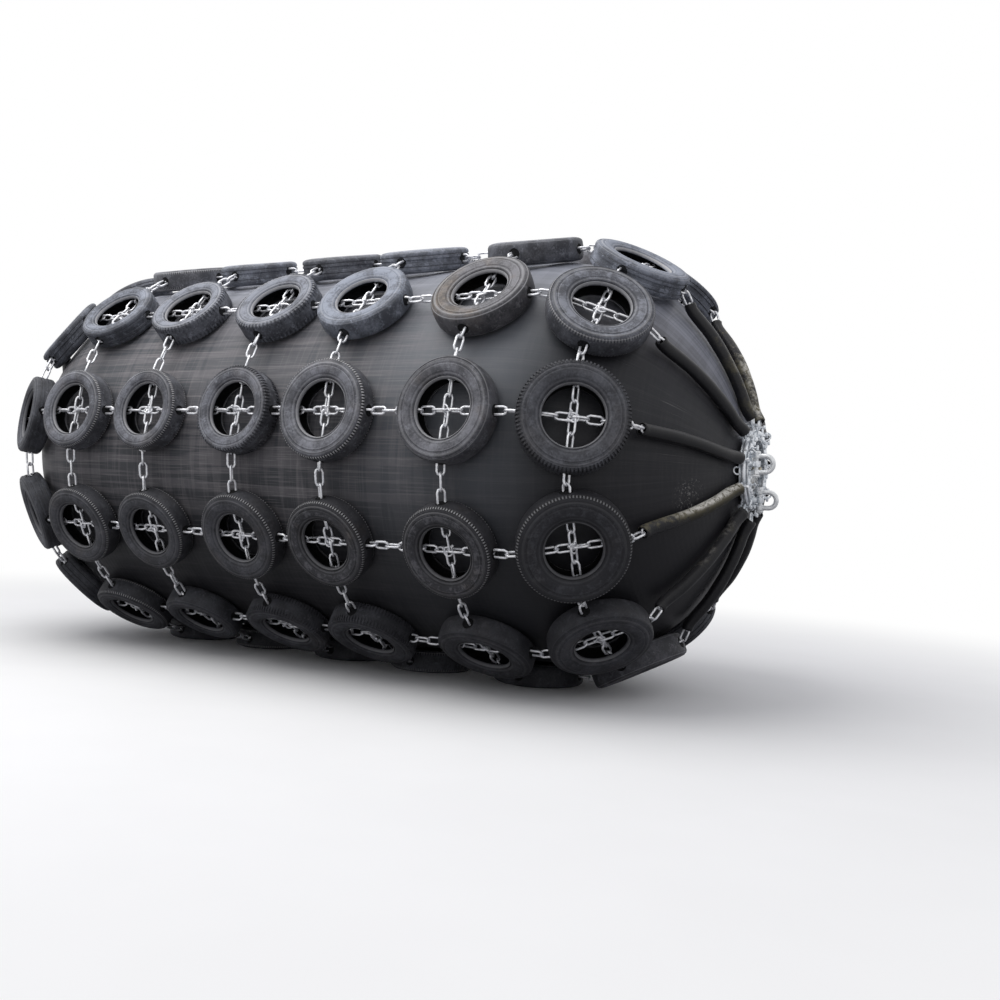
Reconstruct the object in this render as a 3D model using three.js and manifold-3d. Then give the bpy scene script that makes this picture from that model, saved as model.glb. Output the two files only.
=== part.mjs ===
// Pneumatic fender: an air-filled rubber body in a net of chains, used tyres and sleeved end chains.
// Millimetres, +Z up, X along the fender. The origin is on the floor, under the middle of the body.
import * as THREE from 'three';
import { mergeVertices } from 'three/addons/utils/BufferGeometryUtils.js';
import Module from 'manifold-3d';

const wasm = await Module();
wasm.setup();

// Driving dimensions of the rubber body
const bodyRadius = 1650;
const bodyStraight = 3900;
const domeDepth = 1550;
const flangeSeatRadius = 210;
const bodySidesPerRow = 3;
const flatsToShoulder = 2;

// Driving dimensions of the net
const rowCount = 11;
const columnPlaces = [-1920, -1060, -100, 760, 1810];
const shoulderAngle = 26.5;
const tyreWidth = 190;
const tyreRadii = [
  [355, 350, 345, 360, 372, 380, 392],
  [352, 348, 342, 362, 368, 378, 390],
  [356, 350, 346, 366, 352, 358, 400],
  [350, 345, 338, 348, 388, 380, 390],
  [354, 346, 344, 358, 380, 386, 386],
  [350, 352, 348, 356, 376, 384, 390],
];
const hubRadius = 210;
const tyreSides = 8;
const chainWidth = 70;
const chainHeight = 44;

// Driving dimensions of the sleeved end chains
const sleeveRadius = 52;
const sleeveSides = 6;
const sleeveSteps = 5;
const sleeveStartRise = 40;
const sleeveStartRun = 90;
const sleeveStraight = 60;
const sleeveSeatGap = 14;
const sleeveEndRadius = 425;

// Driving dimensions of the end rings
const ringInnerRadius = 245;
const ringOuterRadius = 325;
const ringSides = 22;
const ringPlate = 14;
const ringSpacing = 44;
const ringStandOff = 8;
const ringBoltRadius = 12;
const ringBoltSides = 4;
const ringBoltOut = 20;
const ringBoltIn = 6;
const linkWidth = 42;
const linkThickness = 18;

// Driving dimensions of the towing shackles
const towPlaces = [{ angle: 84, spin: 0 }, { angle: 158, spin: 10 }];
const towRadius = 275;
const towGap = 84;
const towWire = 32;
const towReach = 140;
const towArcSteps = 6;
const towPinSides = 8;
const towPinRadius = 15;
const towEyeEdge = 11;
const towHeadRadius = 24;
const towHeadThickness = 16;
const towLugThickness = 46;
const towLugWidth = 74;
const towPinStandOff = 48;

// Driving dimensions of the end flange and its fittings
const flangeRadius = 205;
const flangeThickness = 26;
const flangeBore = 110;
const flangeSides = 22;
const coverRadius = 160;
const coverThickness = 18;
const coverBolts = 8;
const coverBoltCircle = 135;
const coverBoltRadius = 13;
const coverBoltHeight = 14;
const fittingSides = 8;
const airValve = { foot: 30, footHeight: 14, neck: 17, neckHeight: 26, cap: 23, capHeight: 18 };
const safetyValve = { foot: 44, footHeight: 16, neck: 27, neckHeight: 14, cap: 36, capHeight: 22 };

const clearance = 0.3;
const weld = 6;
const rowStep = (2 * Math.PI) / rowCount;
const bodySides = bodySidesPerRow * rowCount;
const axisHeight = bodyRadius + clearance + tyreWidth;
const radians = (degrees) => (degrees * Math.PI) / 180;

const rubber = (colour, roughness) => new THREE.MeshStandardMaterial({ color: colour, roughness, metalness: 0 });
const steel = (colour, roughness) => new THREE.MeshStandardMaterial({ color: colour, roughness, metalness: 0.85 });
const material = {
  body: rubber(0x1d1e22, 0.62),
  tyre: rubber(0x26272a, 0.78),
  sleeve: rubber(0x18181b, 0.55),
  galvanised: steel(0xb4b8bd, 0.42),
  shackle: steel(0xc3c6ca, 0.36),
  flange: steel(0x8e9297, 0.5),
  brass: steel(0xa88a4e, 0.4),
};

function toSolid(geometry) {
  const bare = geometry.index ? geometry.toNonIndexed() : geometry.clone();
  bare.deleteAttribute('normal');
  bare.deleteAttribute('uv');
  const merged = mergeVertices(bare, 1e-3);
  const vertProperties = Float32Array.from(merged.attributes.position.array);
  const triVerts = Uint32Array.from(merged.index.array);
  return new wasm.Manifold(new wasm.Mesh({ numProp: 3, vertProperties, triVerts }));
}

function toGeometry(solid) {
  const mesh = solid.getMesh();
  const geometry = new THREE.BufferGeometry();
  geometry.setAttribute('position', new THREE.BufferAttribute(Float32Array.from(mesh.vertProperties), 3));
  geometry.setIndex(new THREE.BufferAttribute(Uint32Array.from(mesh.triVerts), 1));
  geometry.computeVertexNormals();
  return geometry;
}

const join = (solids) => solids.reduce((sum, solid) => sum.add(solid));

function namedMesh(name, geometry, look) {
  const mesh = new THREE.Mesh(geometry, look.clone());
  mesh.name = name;
  return mesh;
}

// A closed lathe profile of [radius, height] pairs, turned about the Y axis
function turned(pairs, sides) {
  return new THREE.LatheGeometry(pairs.map(([radius, height]) => new THREE.Vector2(radius, height)), sides);
}

// The same, turned about the X axis with its heights along X, one flat side facing up
function turnedAlongX(pairs, sides) {
  const geometry = turned(pairs, sides);
  geometry.rotateY(Math.PI / sides);
  geometry.rotateZ(-Math.PI / 2);
  return geometry;
}

// The corner-to-corner radius of a regular polygon with the given distance from centre to flat
const cornerRadius = (flatRadius, sides) => flatRadius / Math.cos(Math.PI / sides);

// Points and directions of the dome: angle 0 is where it leaves the cylinder, 90 degrees its top
function domePoint(angle) {
  return { x: bodyStraight / 2 + domeDepth * Math.sin(angle), h: bodyRadius * Math.cos(angle) };
}

function domeTilt(angle) {
  return Math.atan2(bodyRadius * Math.sin(angle), domeDepth * Math.cos(angle));
}

function liftedDomePoint(angle, lift) {
  const point = domePoint(angle);
  const tilt = domeTilt(angle);
  return { x: point.x + lift * Math.sin(tilt), h: point.h + lift * Math.cos(tilt) };
}

const bodyEnd = bodyStraight / 2 + domeDepth * Math.sqrt(1 - (flangeSeatRadius / bodyRadius) ** 2);

// Outline of the body: facets that touch the true ellipse at equal steps of its angle, one of
// which falls on the shoulder tyres. With three sides to a row, every tyre lies on a flat
function bodyGeometry() {
  const step = radians(shoulderAngle) / flatsToShoulder;
  const scale = 1 / Math.cos(step / 2);
  const dome = [];
  for (let angle = step / 2; bodyRadius * Math.cos(angle) * scale > flangeSeatRadius * 1.4; angle += step) {
    const point = domePoint(angle);
    dome.push([point.h * scale, bodyStraight / 2 + (point.x - bodyStraight / 2) * scale]);
  }
  dome.push([flangeSeatRadius, bodyEnd]);
  const right = dome.map(([radius, x]) => [cornerRadius(radius, bodySides), x]);
  const left = right.map(([radius, x]) => [radius, -x]).reverse();
  return turnedAlongX([[0, -bodyEnd], ...left, ...right, [0, bodyEnd]], bodySides);
}

// A tyre lying flat: its hole along Z, one flat facing each of the four chain directions
function tyreSolid(outerRadius) {
  const inner = cornerRadius(hubRadius, tyreSides);
  const outer = cornerRadius(outerRadius, tyreSides);
  const half = tyreWidth / 2;
  const geometry = turned([[inner, -half], [outer, -half], [outer, half], [inner, half], [inner, -half]], tyreSides);
  geometry.rotateX(Math.PI / 2);
  geometry.rotateZ(Math.PI / tyreSides);
  return toSolid(geometry);
}

// A chain's section: a ridge as wide and as high as its links
const chainSection = [
  new THREE.Vector2(-chainWidth / 2, -chainHeight / 2),
  new THREE.Vector2(chainWidth / 2, -chainHeight / 2),
  new THREE.Vector2(0, chainHeight / 2),
];

function chainFrame(start, end, up) {
  const along = new THREE.Vector3().subVectors(end, start).normalize();
  const side = new THREE.Vector3().crossVectors(up, along).normalize();
  const lift = new THREE.Vector3().crossVectors(along, side);
  return { along, side, lift };
}

function chainSolid(start, end, up) {
  const { along, side, lift } = chainFrame(start, end, up);
  const geometry = new THREE.ExtrudeGeometry(new THREE.Shape(chainSection), {
    depth: start.distanceTo(end), bevelEnabled: false,
  });
  geometry.applyMatrix4(new THREE.Matrix4().makeBasis(side, lift, along).setPosition(start));
  return toSolid(geometry);
}

// The end point of a chain that runs towards a plane and keeps every corner clear of it
function chainStop(start, planePoint, planeNormal, up) {
  const { along, side, lift } = chainFrame(start, planePoint, up);
  const lean = along.dot(planeNormal);
  const runs = chainSection.map(({ x, y }) => {
    const corner = start.clone().addScaledVector(side, x).addScaledVector(lift, y);
    return new THREE.Vector3().subVectors(planePoint, corner).dot(planeNormal) / lean;
  });
  return start.clone().addScaledVector(along, Math.min(...runs) - clearance / lean);
}

// Where the seven tyres of a row sit, in the row's own frame with the row on top of the body
function tyrePlaces() {
  const onBody = columnPlaces.map((x) => ({ x, h: bodyRadius + clearance + tyreWidth / 2, tilt: 0 }));
  const angle = radians(shoulderAngle);
  const right = { ...liftedDomePoint(angle, clearance + tyreWidth / 2), tilt: domeTilt(angle) };
  return [{ x: -right.x, h: right.h, tilt: -right.tilt }, ...onBody, right];
}

const places = tyrePlaces();
const radiiOf = (row) => tyreRadii[Math.min(row, rowCount - row)];

function placeVector(place, run) {
  return new THREE.Vector3(place.x + run * Math.cos(place.tilt), 0, place.h - run * Math.sin(place.tilt));
}

const placeUp = (place) => new THREE.Vector3(Math.sin(place.tilt), 0, Math.cos(place.tilt));

// Where the sleeve of a row begins, seen from the middle of the row's last tyre
function sleeveStart(outerRadius) {
  const angle = radians(shoulderAngle) + (outerRadius + sleeveStartRun) / bodyRadius;
  return { angle, point: liftedDomePoint(angle, sleeveRadius + sleeveStartRise) };
}

const lastPlace = places[places.length - 1];

// The run of chain from the last tyre's far edge to the sleeve, at the right-hand end of a row
function endRun(outerRadius) {
  const from = placeVector(lastPlace, outerRadius - weld);
  const mouth = sleeveStart(outerRadius).point;
  const to = new THREE.Vector3(mouth.x, 0, mouth.h);
  return { from, to, along: new THREE.Vector3().subVectors(to, from).normalize() };
}

const mirrored = (vector, side) => new THREE.Vector3(side * vector.x, vector.y, vector.z);

// Chains along a row: one bar over the straight part, then bars over each shoulder to the sleeves
function axialChains(radii) {
  const up = new THREE.Vector3(0, 0, 1);
  const last = places.length - 1;
  const middle = chainSolid(
    placeVector(places[1], weld - radii[1]), placeVector(places[last - 1], radii[last - 1] - weld), up);
  const shoulder = (side, innerPlace, innerRadius, outerRadius) => {
    const shoulderUp = mirrored(placeUp(lastPlace), side);
    const inner = placeVector(innerPlace, side * (innerRadius - weld));
    const nearEdge = mirrored(placeVector(lastPlace, weld - outerRadius), side);
    const run = endRun(outerRadius);
    const farEdge = mirrored(run.from, side);
    const stop = mirrored(run.to.clone().addScaledVector(run.along, -clearance), side);
    return [
      chainSolid(inner, nearEdge, up),
      chainSolid(nearEdge, farEdge, shoulderUp),
      chainSolid(farEdge, stop, shoulderUp),
    ];
  };
  return [
    middle,
    ...shoulder(1, places[last - 1], radii[last - 1], radii[last]),
    ...shoulder(-1, places[1], radii[1], radii[0]),
  ];
}

// Chains round the body: through each tyre of this row and on to the face of the next row's tyre
function hoopChains(radii, nextRadii) {
  const turn = new THREE.Matrix4().makeRotationX(-rowStep);
  const solids = [];
  places.forEach((place, column) => {
    const up = placeUp(place);
    const middle = placeVector(place, 0);
    const across = new THREE.Vector3(0, 1, 0);
    const start = middle.clone().addScaledVector(across, -radii[column] + weld);
    const exit = middle.clone().addScaledVector(across, radii[column] - weld);
    solids.push(chainSolid(start, exit, up));
    const nextFace = middle.clone().addScaledVector(across, -nextRadii[column]).applyMatrix4(turn);
    const nextAcross = across.clone().applyMatrix4(turn);
    solids.push(chainSolid(exit, chainStop(exit, nextFace, nextAcross, up), up));
  });
  return solids;
}

function rowGeometry(row) {
  const radii = radiiOf(row);
  const nextRadii = radiiOf((row + 1) % rowCount);
  const tyres = places.map((place, column) => {
    const matrix = new THREE.Matrix4().makeRotationY(place.tilt).setPosition(place.x, 0, place.h);
    return tyreSolid(radii[column]).transform(matrix.elements);
  });
  return toGeometry(join([...tyres, ...axialChains(radii), ...hoopChains(radii, nextRadii)]));
}

// Places along X at the right-hand end: the two ring plates, their middle, and the pin line
const ringInside = bodyEnd + ringStandOff;
const ringMiddle = ringInside + ringPlate + ringSpacing / 2;
const ringOutside = ringInside + 2 * ringPlate + ringSpacing;
const towPinX = ringOutside + towPinStandOff;
const ringBoltCircle = (ringInnerRadius + ringOuterRadius) / 2;

// The sleeve's centre line: straight out of the chain, down on the dome, in to the ring
function sleeveCurve(outerRadius) {
  const run = endRun(outerRadius);
  const lift = cornerRadius(sleeveRadius, sleeveSides) + sleeveSeatGap;
  const first = sleeveStart(outerRadius).angle + sleeveStraight / bodyRadius;
  const last = Math.acos(sleeveEndRadius / bodyRadius);
  const points = [run.to, run.to.clone().addScaledVector(run.along, sleeveStraight)];
  for (const share of [0.3, 0.55, 0.8]) {
    const point = liftedDomePoint(first + share * (last - first), lift);
    points.push(new THREE.Vector3(point.x, 0, point.h));
  }
  points.push(new THREE.Vector3(ringMiddle, 0, sleeveEndRadius));
  return new THREE.CatmullRomCurve3(points);
}

function sleeveGeometry(outerRadius) {
  const corner = cornerRadius(sleeveRadius, sleeveSides);
  const outline = [];
  for (let side = 0; side < sleeveSides; side += 1) {
    const angle = ((side + 0.5) / sleeveSides) * 2 * Math.PI;
    outline.push(new THREE.Vector2(corner * Math.cos(angle), corner * Math.sin(angle)));
  }
  return new THREE.ExtrudeGeometry(new THREE.Shape(outline), {
    steps: sleeveSteps, bevelEnabled: false, extrudePath: sleeveCurve(outerRadius),
  });
}

function ringPlateSolid(from) {
  const inner = cornerRadius(ringInnerRadius, ringSides);
  const outer = cornerRadius(ringOuterRadius, ringSides);
  const to = from + ringPlate;
  return toSolid(turnedAlongX([[inner, from], [outer, from], [outer, to], [inner, to], [inner, from]], ringSides));
}

// One bolt through both plates with the shackle bar that carries a sleeve's chain, at the top
function ringLinkSolid() {
  const corner = cornerRadius(ringBoltRadius, ringBoltSides);
  const from = ringInside - ringBoltIn;
  const to = ringOutside + ringBoltOut;
  const bolt = turnedAlongX([[0, from], [corner, from], [corner, to], [0, to]], ringBoltSides);
  bolt.translate(0, 0, ringBoltCircle);
  const end = sleeveCurve(radiiOf(0)[places.length - 1]).getTangent(1);
  const slant = Math.abs(end.x / end.z);
  const top = sleeveEndRadius - clearance - (linkWidth / 2) * slant;
  const bar = new THREE.BoxGeometry(linkWidth, linkThickness, top - ringBoltCircle);
  bar.translate(ringMiddle, 0, (top + ringBoltCircle) / 2);
  return toSolid(bolt).add(toSolid(bar));
}

const turnAboutX = (angle) => new THREE.Matrix4().makeRotationX(angle);

// The frame of a towing shackle: its pin along Z, its bow towards +X
function towMatrix(place) {
  const angle = radians(place.angle);
  const matrix = turnAboutX(radians(place.spin));
  return matrix.setPosition(towPinX, -towRadius * Math.sin(angle), towRadius * Math.cos(angle));
}

function towRound(flatRadius, length, z) {
  const corner = cornerRadius(flatRadius, towPinSides);
  const geometry = new THREE.CylinderGeometry(corner, corner, length, towPinSides);
  return toSolid(geometry.rotateX(Math.PI / 2).translate(0, 0, z));
}

const towPinHole = (length) => towRound(towPinRadius + clearance, length, 0);

function towLugSolid() {
  const reach = towPinStandOff + weld + towPinRadius + towEyeEdge;
  const lug = new THREE.BoxGeometry(reach, towLugWidth, towLugThickness);
  lug.translate(reach / 2 - towPinStandOff - weld, 0, 0);
  return toSolid(lug).subtract(towPinHole(2 * towLugThickness));
}

function netRingGeometry() {
  const link = ringLinkSolid();
  const links = [];
  for (let row = 0; row < rowCount; row += 1) {
    links.push(link.transform(turnAboutX(Math.PI - row * rowStep).elements));
  }
  const lugs = towPlaces.map((place) => towLugSolid().transform(towMatrix(place).elements));
  const plates = [ringPlateSolid(ringInside), ringPlateSolid(ringOutside - ringPlate)];
  return toGeometry(join([...plates, ...links, ...lugs]));
}

function towShackleGeometry() {
  const eye = towPinRadius + towEyeEdge;
  const inner = towGap / 2;
  const outer = inner + towWire;
  const bend = towReach - outer;
  const shape = new THREE.Shape();
  shape.moveTo(0, -outer);
  shape.lineTo(bend, -outer);
  shape.absarc(bend, 0, outer, -Math.PI / 2, Math.PI / 2, false);
  shape.lineTo(0, outer);
  shape.lineTo(0, inner);
  shape.lineTo(bend, inner);
  shape.absarc(bend, 0, inner, Math.PI / 2, -Math.PI / 2, true);
  shape.lineTo(0, -inner);
  const bow = new THREE.ExtrudeGeometry(shape, {
    depth: towWire, bevelEnabled: false, curveSegments: towArcSteps,
  });
  bow.translate(0, 0, -towWire / 2);
  bow.rotateX(Math.PI / 2);
  const eyes = [-1, 1].map((end) => towRound(eye, towWire, end * (inner + towWire / 2)));
  return toGeometry(join([toSolid(bow), ...eyes]).subtract(towPinHole(4 * outer)));
}

function towPinGeometry() {
  const pin = cornerRadius(towPinRadius, towPinSides);
  const head = cornerRadius(towHeadRadius, towPinSides);
  const face = towGap / 2 + towWire + clearance;
  const end = face + towHeadThickness;
  const outline = [
    [0, -end], [head, -end], [head, -face], [pin, -face], [pin, face], [head, face], [head, end], [0, end],
  ];
  return turned(outline, towPinSides).rotateX(Math.PI / 2);
}

function flangeGeometry() {
  const from = bodyEnd + clearance;
  const to = from + flangeThickness;
  return turnedAlongX([
    [flangeBore, from], [flangeRadius, from], [flangeRadius, to], [flangeBore, to], [flangeBore, from],
  ], flangeSides);
}

const coverFace = bodyEnd + 2 * clearance + flangeThickness;

function coverGeometry() {
  const to = coverFace + coverThickness;
  const plate = turnedAlongX([[0, coverFace], [coverRadius, coverFace], [coverRadius, to], [0, to]], flangeSides);
  const heads = [];
  for (let bolt = 0; bolt < coverBolts; bolt += 1) {
    const head = new THREE.CylinderGeometry(coverBoltRadius, coverBoltRadius, coverBoltHeight + weld, 6);
    head.rotateZ(Math.PI / 2);
    head.translate(to + (coverBoltHeight - weld) / 2, 0, coverBoltCircle);
    head.rotateX((bolt / coverBolts) * 2 * Math.PI);
    heads.push(toSolid(head));
  }
  return toGeometry(join([toSolid(plate), ...heads]));
}

function valveGeometry(size) {
  const foot = coverFace + coverThickness + clearance;
  const neck = foot + size.footHeight;
  const cap = neck + size.neckHeight;
  const end = cap + size.capHeight;
  return turnedAlongX([
    [0, foot], [size.foot, foot], [size.foot, neck], [size.neck, neck],
    [size.neck, cap], [size.cap, cap], [size.cap, end], [0, end],
  ], fittingSides);
}

function endAssembly(side, valve, valveName) {
  const end = new THREE.Group();
  end.add(namedMesh(`end_flange_${side}`, flangeGeometry(), material.flange));
  end.add(namedMesh(`end_cover_${side}`, coverGeometry(), material.flange));
  end.add(namedMesh(valveName, valveGeometry(valve), material.brass));
  end.add(namedMesh(`net_ring_${side}`, netRingGeometry(), material.galvanised));
  towPlaces.forEach((place, index) => {
    const bow = namedMesh(`towing_shackle_${side}_${index + 1}`, towShackleGeometry(), material.shackle);
    const pin = namedMesh(`towing_pin_${side}_${index + 1}`, towPinGeometry(), material.shackle);
    const shackle = new THREE.Group();
    shackle.applyMatrix4(towMatrix(place));
    shackle.add(bow, pin);
    end.add(shackle);
  });
  return end;
}

const fender = new THREE.Group();
fender.position.z = axisHeight;
const body = namedMesh('fender_body', bodyGeometry(), material.body);
body.rotation.x = Math.PI;
fender.add(body);

for (let row = 0; row < rowCount; row += 1) {
  const number = String(row + 1).padStart(2, '0');
  const radii = radiiOf(row);
  const rowGroup = new THREE.Group();
  rowGroup.rotation.x = Math.PI - row * rowStep;
  rowGroup.add(namedMesh(`tyre_row_${number}`, rowGeometry(row), material.tyre));
  rowGroup.add(namedMesh(`chain_sleeve_right_${number}`, sleeveGeometry(radii[radii.length - 1]), material.sleeve));
  const left = namedMesh(`chain_sleeve_left_${number}`, sleeveGeometry(radii[0]), material.sleeve);
  left.rotation.z = Math.PI;
  rowGroup.add(left);
  fender.add(rowGroup);
}

const leftEnd = endAssembly('left', safetyValve, 'safety_valve');
leftEnd.rotation.z = Math.PI;
fender.add(endAssembly('right', airValve, 'air_valve'), leftEnd);

export default fender;
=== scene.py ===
# Pneumatic fender in a net of chains, used tyres and sleeved end chains, dressed over its CAD frame.
import math
import bpy
import numpy as np
from mathutils import Matrix


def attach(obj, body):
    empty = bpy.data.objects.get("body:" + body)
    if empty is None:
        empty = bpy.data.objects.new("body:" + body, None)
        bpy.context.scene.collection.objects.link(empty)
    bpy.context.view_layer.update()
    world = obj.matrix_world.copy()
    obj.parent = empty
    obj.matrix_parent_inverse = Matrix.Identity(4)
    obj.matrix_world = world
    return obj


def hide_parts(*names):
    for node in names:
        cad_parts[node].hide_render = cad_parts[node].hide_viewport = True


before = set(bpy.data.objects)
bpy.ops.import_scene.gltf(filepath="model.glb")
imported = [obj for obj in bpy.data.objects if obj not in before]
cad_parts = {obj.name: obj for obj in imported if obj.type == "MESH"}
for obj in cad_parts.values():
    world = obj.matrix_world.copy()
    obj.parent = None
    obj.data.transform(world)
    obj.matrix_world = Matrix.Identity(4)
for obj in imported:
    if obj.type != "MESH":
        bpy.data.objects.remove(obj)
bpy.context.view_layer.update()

# The lie of the fender, in metres: its axis runs along X, and its rows of tyres are turned about it
fenderForm = {
    "radius": 1.65, "halfStraight": 1.95, "domeDepth": 1.55, "seatRadius": 0.21, "axisHeight": 1.8403,
    "rows": 11, "shoulderAngle": math.radians(26.5), "clearance": 0.0003,
    # How fine the body's mesh is, and how deep the shallow hollows of its skin are
    "domeSteps": 58, "barrelSteps": 26, "around": 240, "hollow": 0.0011,
    # Waves of those hollows by their fineness along, their count round and where they start
    "waves": [(3.1, 2, 0.0), (7.3, -5, 1.0), (1.7, 9, 2.0)],
}
# The middle five tyres' places along X, and the radii of each row's seven tyres from left to right
columnPlaces = [-1.92, -1.06, -0.10, 0.76, 1.81]
tyreRadii = [
    [0.355, 0.350, 0.345, 0.360, 0.372, 0.380, 0.392],
    [0.352, 0.348, 0.342, 0.362, 0.368, 0.378, 0.390],
    [0.356, 0.350, 0.346, 0.366, 0.352, 0.358, 0.400],
    [0.350, 0.345, 0.338, 0.348, 0.388, 0.380, 0.390],
    [0.354, 0.346, 0.344, 0.358, 0.380, 0.386, 0.386],
    [0.350, 0.352, 0.348, 0.356, 0.376, 0.384, 0.390],
]
rowStep = 2 * math.pi / fenderForm["rows"]
centre = (0, 0, fenderForm["axisHeight"])


def radiiOf(row):
    # The rows on the far side repeat those on the near one
    rows = fenderForm["rows"]
    return tyreRadii[min(row % rows, rows - row % rows)]


# Shapes: a shape is its points, its four- and three-cornered faces, and marks for its materials

def gridFaces(rows, columns, loopRows):
    # Each face joins a grid point to the next one down, across and along; a loop joins last to first
    down, along = np.meshgrid(np.arange(rows if loopRows else rows - 1), np.arange(columns), indexing="ij")
    downNext, alongNext = (down + 1) % rows, (along + 1) % columns
    corners = [down * columns + along, downNext * columns + along,
               downNext * columns + alongNext, down * columns + alongNext]
    return np.stack(corners, -1).reshape(-1, 4)


def outward(shape):
    # Six times the volume under a closed skin is the sum of its corners' triple products: where
    # that is below zero the faces look inwards, and every one is turned round
    points = shape["points"] - shape["points"].mean(0)
    quads, fans = shape["quads"], shape["fans"]
    corners = np.concatenate([quads[:, [0, 1, 2]], quads[:, [0, 2, 3]], fans])
    first, second, third = (points[corners[:, side]] for side in range(3))
    if np.einsum("ij,ij->", first, np.cross(second, third)) < 0:
        shape["quads"], shape["fans"] = quads[:, ::-1], fans[:, ::-1]
    return shape


def gridShape(points, loopRows=False, marks=None):
    # A grid of points as one skin, closed round its columns. Its rows close as a loop, or else
    # each open end is closed by a fan of faces about its middle
    rows, columns = points.shape[:2]
    flat = points.reshape(-1, 3)
    fans = np.zeros((0, 3), int)
    marks = {name: np.asarray(mark, float).reshape(-1, 3) for name, mark in (marks or {}).items()}
    if not loopRows:
        ring = np.arange(columns)
        ringNext = np.roll(ring, -1)
        last = (rows - 1) * columns
        middle = np.full(columns, len(flat))
        fans = np.concatenate([np.stack([ring, ringNext, middle], -1),
                               np.stack([last + ringNext, last + ring, middle + 1], -1)])
        flat = np.concatenate([flat, points[0].mean(0)[None], points[-1].mean(0)[None]])
        marks = {name: np.concatenate([mark, mark[:1], mark[-1:]]) for name, mark in marks.items()}
    faces = gridFaces(rows, columns, loopRows)
    return outward({"points": flat, "quads": faces, "fans": fans, "marks": marks})


def roundSteps(sides):
    return np.arange(sides) * 2 * np.pi / sides


def turned(profile, sides, loop=False):
    # A profile of (radius, height) pairs turned about Z: x and y are the radius times cosine and sine
    profile = np.asarray(profile, float)
    angle = roundSteps(sides)
    return gridShape(np.stack([profile[:, :1] * np.cos(angle), profile[:, :1] * np.sin(angle),
                               np.repeat(profile[:, 1:2], sides, 1)], -1), loopRows=loop)


def unit(vectors):
    return vectors / np.linalg.norm(vectors, axis=-1, keepdims=True)


def ringsAbout(side, normal, sides):
    # At each place of a path, a circle spanned by the two directions there
    angle = roundSteps(sides)[None, :, None]
    return np.cos(angle) * side[:, None, :] + np.sin(angle) * np.atleast_2d(normal)[:, None, :]


def tube(path, normal, radius, sides, loop=False):
    # A circle carried along a flat path: it is spanned by the flat's normal and by the cross
    # product of that normal with the path's direction
    path = np.asarray(path, float)
    along = np.roll(path, -1, 0) - np.roll(path, 1, 0) if loop else np.gradient(path, axis=0)
    rings = ringsAbout(np.cross(unit(along), normal), normal, sides)
    return gridShape(path[:, None, :] + radius * rings, loopRows=loop)


def joinShapes(shapes):
    # Faces of each shape are counted on from the points of those before it
    starts = np.cumsum([0] + [len(shape["points"]) for shape in shapes])[:-1]
    names = sorted({name for shape in shapes for name in shape["marks"]})
    marks = {name: np.concatenate([shape["marks"].get(name, np.zeros((len(shape["points"]), 3)))
                                   for shape in shapes]) for name in names}
    return {"points": np.concatenate([shape["points"] for shape in shapes]),
            "quads": np.concatenate([shape["quads"] + start for shape, start in zip(shapes, starts)]),
            "fans": np.concatenate([shape["fans"] + start for shape, start in zip(shapes, starts)]),
            "marks": marks}


def placeAll(shape, matrices):
    # One copy of the shape for each 3 x 4 matrix: its points turned by the matrix, then moved
    matrices = np.asarray(matrices, float).reshape(-1, 3, 4)
    count, size = len(matrices), len(shape["points"])
    points = np.einsum("kij,nj->kni", matrices[:, :, :3], shape["points"]) + matrices[:, None, :, 3]
    offsets = (np.arange(count) * size)[:, None, None]
    quads = (shape["quads"][None] + offsets).reshape(-1, 4)
    fans = (shape["fans"][None] + offsets).reshape(-1, 3)
    marks = {name: np.tile(mark, (count, 1)) for name, mark in shape["marks"].items()}
    return {"points": points.reshape(-1, 3), "quads": quads, "fans": fans, "marks": marks}


def matrixOf(along, across, up, place=(0, 0, 0)):
    # Columns are the three directions, then the place
    return np.stack([np.asarray(column, float) for column in (along, across, up, place)], -1)


def turnMatrix(axis, angle):
    # A turn about X, Y or Z through the origin
    first, second = [(1, 2), (2, 0), (0, 1)]["XYZ".index(axis)]
    matrix = np.eye(3)
    matrix[first, first] = matrix[second, second] = math.cos(angle)
    matrix[first, second], matrix[second, first] = -math.sin(angle), math.sin(angle)
    return matrix


def randomTurn(chance, *ranges):
    # One turn after another, each about its axis by an angle drawn from its range
    matrix = np.eye(3)
    for axis, low, high in ranges:
        matrix = matrix @ turnMatrix(axis, chance.uniform(low, high))
    return matrix


def withPlace(matrix, place=(0, 0, 0)):
    return np.concatenate([matrix, np.asarray(place, float)[:, None]], 1)


zOnToX = matrixOf((0, 1, 0), (0, 0, 1), (1, 0, 0))
halfTurn = withPlace(turnMatrix("Z", math.pi))
lifted = withPlace(np.eye(3), centre)


def acrossY(place=(0, 0, 0)):
    # Lays what stands along Z down along Y, and then moves it
    return matrixOf((1, 0, 0), (0, 0, -1), (0, 1, 0), place)


def frameAt(angle):
    # The frame at an angle round the fender, with X along it and Z out from its axis
    return matrixOf((1, 0, 0), (0, math.cos(angle), math.sin(angle)),
                    (0, -math.sin(angle), math.cos(angle)), centre)


def rowMatrix(row):
    return frameAt(math.pi - row * rowStep)


def bySide(shape, side):
    # The left end is the right one turned half round
    return placeAll(shape, halfTurn) if side == "left" else shape


def numberOf(row):
    return f"{row + 1:02d}"


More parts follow.
